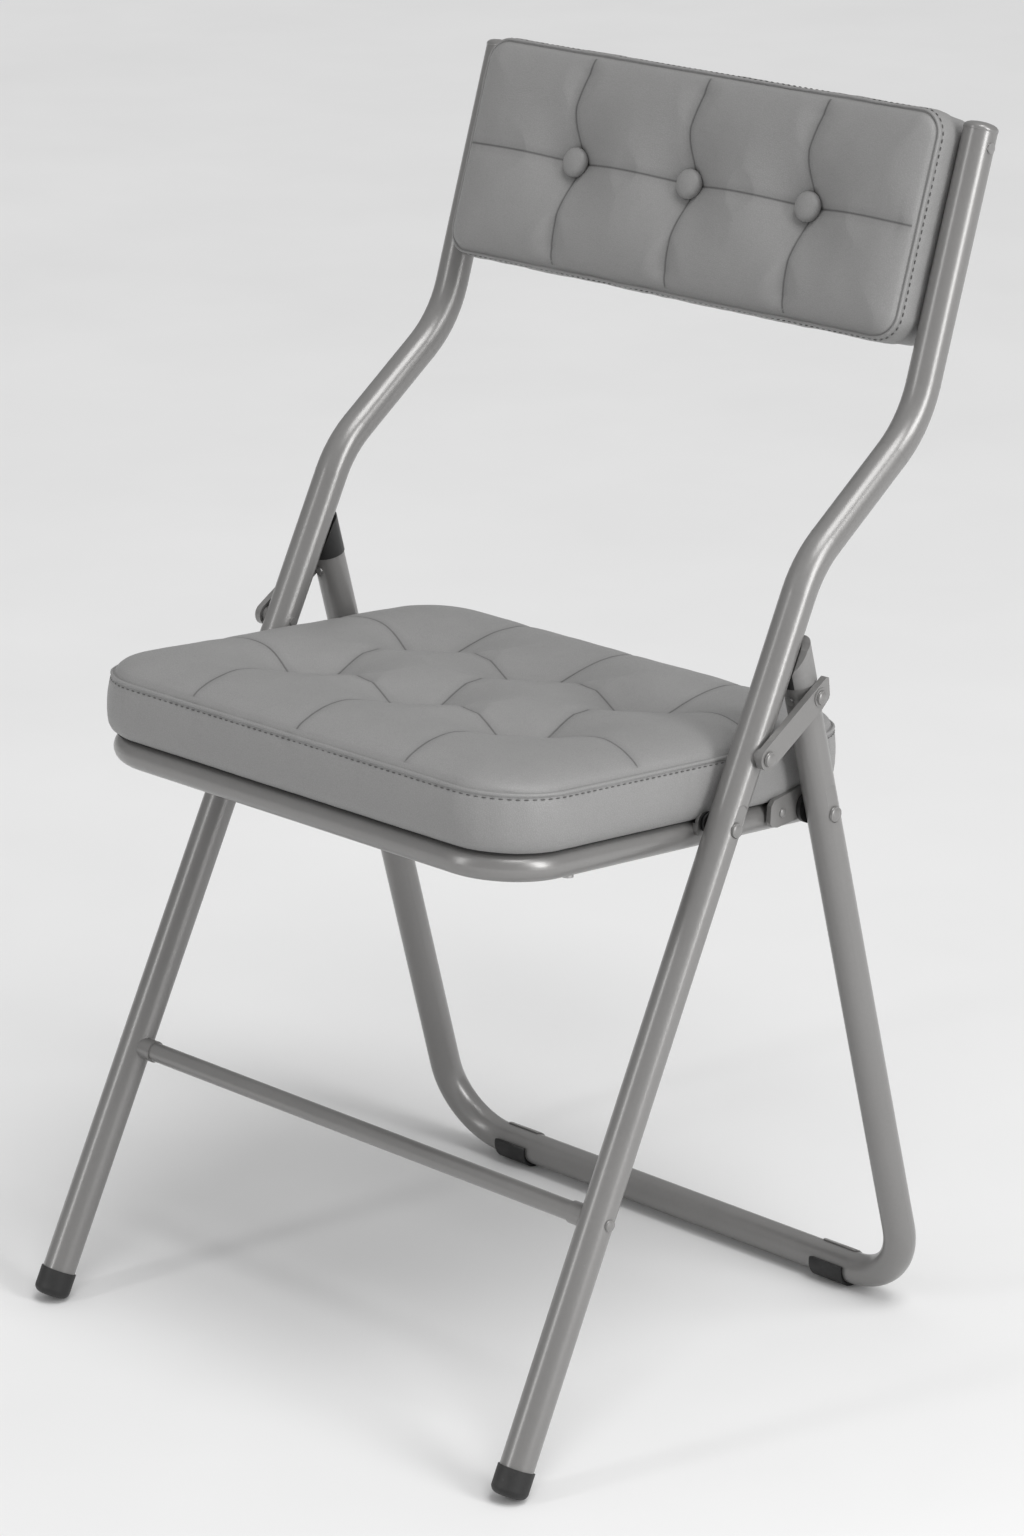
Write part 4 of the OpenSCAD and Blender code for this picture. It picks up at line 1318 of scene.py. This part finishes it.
@dataclass
class Ends:
    """Domed plugs in the posts and the saddles under the rear rail."""

    finishes: Finishes
    post_r: float = 0.0113
    saddle_r: float = 0.01090
    saddle_t: float = 0.00245
    tab_t: float = 0.0011
    length: float = 0.028
    objects: list[bpy.types.Object] = field(default_factory=list)

    def plug(self, name: str, node: str) -> bpy.types.Object:
        """A press-in plug with a low dome.

        Args:
            name: Name of the piece.
            node: CAD node that it stands for.

        Returns:
            The plug.
        """
        r = self.post_r
        profile = ((0.0, 0.0016), (0.0040, 0.0014), (0.0074, 0.0008), (0.0096, -0.0001),
                   (r - 0.0005, -0.0012), (r, -0.0022), (r, -0.0038), (r - 0.0003, -0.0041),
                   (r - 0.0016, -0.0041), (r - 0.0016, -0.0090),
                   (0.0, -0.0090))
        bm = bmesh.new()
        verts = spin_profile(bm, profile, 48)
        x = centre(node).x
        bmesh.ops.transform(bm, matrix=back_plane().matrix() @ Matrix.Translation((x, 0, 0)), verts=verts)
        bmesh.ops.recalc_face_normals(bm, faces=bm.faces)
        obj = add_object(name, bm)
        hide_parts(node)
        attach(obj, Body.FRONT.value)
        dress(obj, self.finishes.enamel)
        return obj

    def arc(self, bm: bmesh.types.BMesh, r0: float, r1: float, x0: float, start: float,
            turn: float, round_off: float) -> None:
        """A strip bent round the rear rail.

        Args:
            bm: Mesh it goes into.
            r0: Inner radius.
            r1: Outer radius.
            x0: Where it starts along the rail.
            start: Angle of its first end, from behind upward.
            turn: Angle it goes round by.
            round_off: Radius of its corners.
        """
        corners = ((x0, r0), (x0 + self.length, r0), (x0 + self.length, r1), (x0, r1))
        spot = Matrix.Rotation(start, 4, "X")
        verts = [bm.verts.new(spot @ Vector((x, r, 0))) for x, r in corners]
        face = bm.faces.new(verts)
        steps = max(8, int(turn / math.radians(6)))
        made = bmesh.ops.spin(bm, geom=[face], cent=(0, 0, 0), axis=(1, 0, 0), angle=turn, steps=steps)
        last = [g for g in made["geom_last"] if isinstance(g, bmesh.types.BMFace)]
        if not face.is_valid:
            face = bm.faces.new(verts)
        ends = [e for f in (face, *last) for e in f.edges if abs(e.verts[0].co.x - e.verts[1].co.x) < 1e-6]
        bmesh.ops.bevel(bm, geom=ends, offset=round_off, segments=5, profile=0.5, affect="EDGES", material=-1)

    def saddle(self, name: str, node: str) -> list[bpy.types.Object]:
        """A rubber saddle and the thin steel tab behind it.

        Args:
            name: Name of the saddle.
            node: CAD node that it stands for.

        Returns:
            The saddle and the tab.
        """
        lo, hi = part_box(node)
        axis = Vector((0, 0, 0))
        axis.z = lo[2] + self.saddle_r + self.saddle_t + 0.00005
        axis.y = (lo[1] + hi[1]) / 2
        pieces = []
        plan = (
            ("", self.saddle_r, self.saddle_t, math.radians(163), math.radians(197), 0.0035,
             self.finishes.rubber, Slot.RUBBER),
            ("_tab", self.saddle_r, self.tab_t, math.radians(18), math.radians(64), 0.0030,
             self.finishes.enamel, Slot.PAINT),
        )
        for tail, r, thick, start, turn, soft, finish, slot in plan:
            bm = bmesh.new()
            self.arc(bm, r, r + thick, lo[0], start, turn, min(soft, thick * 0.45))
            bmesh.ops.translate(bm, vec=axis, verts=bm.verts)
            bmesh.ops.recalc_face_normals(bm, faces=bm.faces)
            obj = add_object(name + tail, bm)
            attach(obj, Body.REAR.value)
            dress(obj, finish)
            pieces.append(obj)
        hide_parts(node)
        return pieces

    def build(self) -> list[bpy.types.Object]:
        """Builds the plugs and the saddles.

        Returns:
            The new pieces.
        """
        for tail in ("left", "right"):
            self.objects.append(self.plug("post_dome_" + tail, "post_plug_" + tail))
            self.objects += self.saddle("rail_saddle_" + tail, "rear_clip_" + tail)
        return self.objects


@dataclass
class Metalwork:
    """Finishes of the CAD nodes that keep their own shape."""

    finishes: Finishes

    def dress_all(self) -> int:
        """Dresses every CAD node that nothing replaces.

        Returns:
            How many nodes were dressed.
        """
        f = self.finishes
        table = (
            (f.plastic, ("rail_plugs", "rear_cap_left", "rear_cap_right", "rear_pivot_spacers",
                         "pivot_bushes", "link_spacer_left", "link_spacer_right")),
            (f.rubber, ("front_foot_left", "front_foot_right", "rear_clip_left", "rear_clip_right")),
            (f.cover, ("cap_cover_left", "cap_cover_right")),
            (f.zinc, ("back_screws", "seat_screws", "cap_rivets")),
            (f.wood, ("back_board",)),
            # The seat board's dark cloth is its underlay, and also painted shade in the gap under the
            # cushion.
            (f.lining_gap_shade, ("seat_board",)),
            (f.vinyl, ("back_cushion", "back_cover", "back_buttons", "seat_cushion")),
        )
        special = {node: finish for finish, nodes in table for node in nodes}
        for node, obj in frame["nodes"].items():
            dress(obj, special.get(node, f.enamel))
        return len(frame["nodes"])


# ---- studio ----


@dataclass
class Studio:
    """Camera, floor and soft light."""

    eye: Vector = field(default_factory=lambda: Vector((2.208, -2.2126, 1.438)))
    azimuth: float = math.radians(44.91)
    elevation: float = math.radians(18.853)
    roll: float = math.radians(-0.892)
    lens: float = 118.76

    def camera(self) -> bpy.types.Object:
        """Makes the camera and sets it as the scene's.

        Returns:
            The camera.
        """
        data = bpy.data.cameras.new("camera")
        data.sensor_fit = "VERTICAL"
        data.sensor_height = 36.0
        data.lens = self.lens
        data.clip_end = 100.0
        obj = bpy.data.objects.new("camera", data)
        bpy.context.scene.collection.objects.link(obj)
        a, e, r = self.azimuth, self.elevation, self.roll
        ahead = Vector((-math.sin(a) * math.cos(e), math.cos(a) * math.cos(e), -math.sin(e)))
        right = Vector((math.cos(a), math.sin(a), 0))
        up = right.cross(ahead)
        right, up = math.cos(r) * right + math.sin(r) * up, math.cos(r) * up - math.sin(r) * right
        turn = Matrix((right, up, -ahead)).transposed().to_4x4()
        obj.matrix_world = Matrix.Translation(self.eye) @ turn
        bpy.context.scene.camera = obj
        bpy.context.scene.view_settings.view_transform = "Standard"
        return obj

    def floor(self) -> bpy.types.Object:
        """A wide pale floor.

        Returns:
            The floor.
        """
        bm = bmesh.new()
        bmesh.ops.create_circle(bm, cap_ends=True, segments=96, radius=30.0)
        obj = add_object("studio_floor", bm, smooth=False)
        material, n, shader = new_material("studio_paper")
        where = n.add("ShaderNodeTexCoord").outputs["Object"]
        tone = n.ramp(n.noise(where, 3.0, 3.0), 0.3, 0.7, 0.0, 1.0)
        n.put(shader.inputs["Base Color"], n.mix(tone, (0.80, 0.80, 0.80, 1), (0.83, 0.83, 0.83, 1)))
        shader.inputs["Roughness"].default_value = 0.9
        shader.inputs["Specular IOR Level"].default_value = 0.1
        dress(obj, material)
        return obj

    def area(self, name: str, at: Sequence[float], aim: Sequence[float], size: Point,
             power: float) -> bpy.types.Object:
        """Adds a soft box.

        Args:
            name: Name of the light.
            at: Its place.
            aim: Point it faces.
            size: Its width and height.
            power: Its power in watts.

        Returns:
            The light.
        """
        data = bpy.data.lights.new(name, "AREA")
        data.shape = "RECTANGLE"
        data.size, data.size_y = size
        data.energy = power
        obj = bpy.data.objects.new(name, data)
        bpy.context.scene.collection.objects.link(obj)
        turn = (Vector(aim) - Vector(at)).to_track_quat("-Z", "Y").to_matrix().to_4x4()
        obj.matrix_world = Matrix.Translation(at) @ turn
        return obj

    def light(self) -> None:
        """Adds the sky and the soft boxes."""
        world = bpy.data.worlds.new("studio_sky")
        bpy.context.scene.world = world
        world.use_nodes = True
        n = Nodes(world.node_tree)
        background = next(node for node in world.node_tree.nodes if node.type == "BACKGROUND")
        where = n.add("ShaderNodeTexCoord").outputs["Generated"]
        split = n.add("ShaderNodeSeparateXYZ")
        n.put(split.inputs[0], where)
        tone = n.ramp(split.outputs["Z"], -0.1, 0.9)
        n.put(background.inputs["Color"], n.mix(tone, (0.42, 0.42, 0.42, 1), (0.90, 0.90, 0.90, 1)))
        background.inputs["Strength"].default_value = 0.58
        sun = bpy.data.lights.new("wide_sun", "SUN")
        sun.energy = 1.35
        sun.angle = math.radians(30)
        lamp = bpy.data.objects.new("wide_sun", sun)
        bpy.context.scene.collection.objects.link(lamp)
        way = Vector((-0.45, 0.10, -1.0)).to_track_quat("-Z", "Y").to_matrix().to_4x4()
        lamp.matrix_world = Matrix.Translation((0, 0, 3)) @ way
        self.area("left_box", (-0.8, -2.9, 1.3), (0, 0, 0.5), (0.35, 2.0), 16)
        self.area("right_box", (2.9, 0.1, 1.4), (0, 0, 0.5), (0.8, 2.0), 50)


def main() -> None:
    """Builds the studio, the finishes and every piece."""
    logging.basicConfig(level=logging.INFO, format="%(message)s")
    studio = Studio()
    studio.camera()
    studio.floor()
    studio.light()
    finishes = Finishes()
    LOG.info("dressed %d nodes", Metalwork(finishes).dress_all())
    for part in (Seat(finishes), BackPad(finishes), Hardware(finishes), Ends(finishes)):
        for obj in part.build():
            LOG.info("piece %s: %d faces", obj.name, len(obj.data.polygons))


if __name__ == "__main__":
    main()
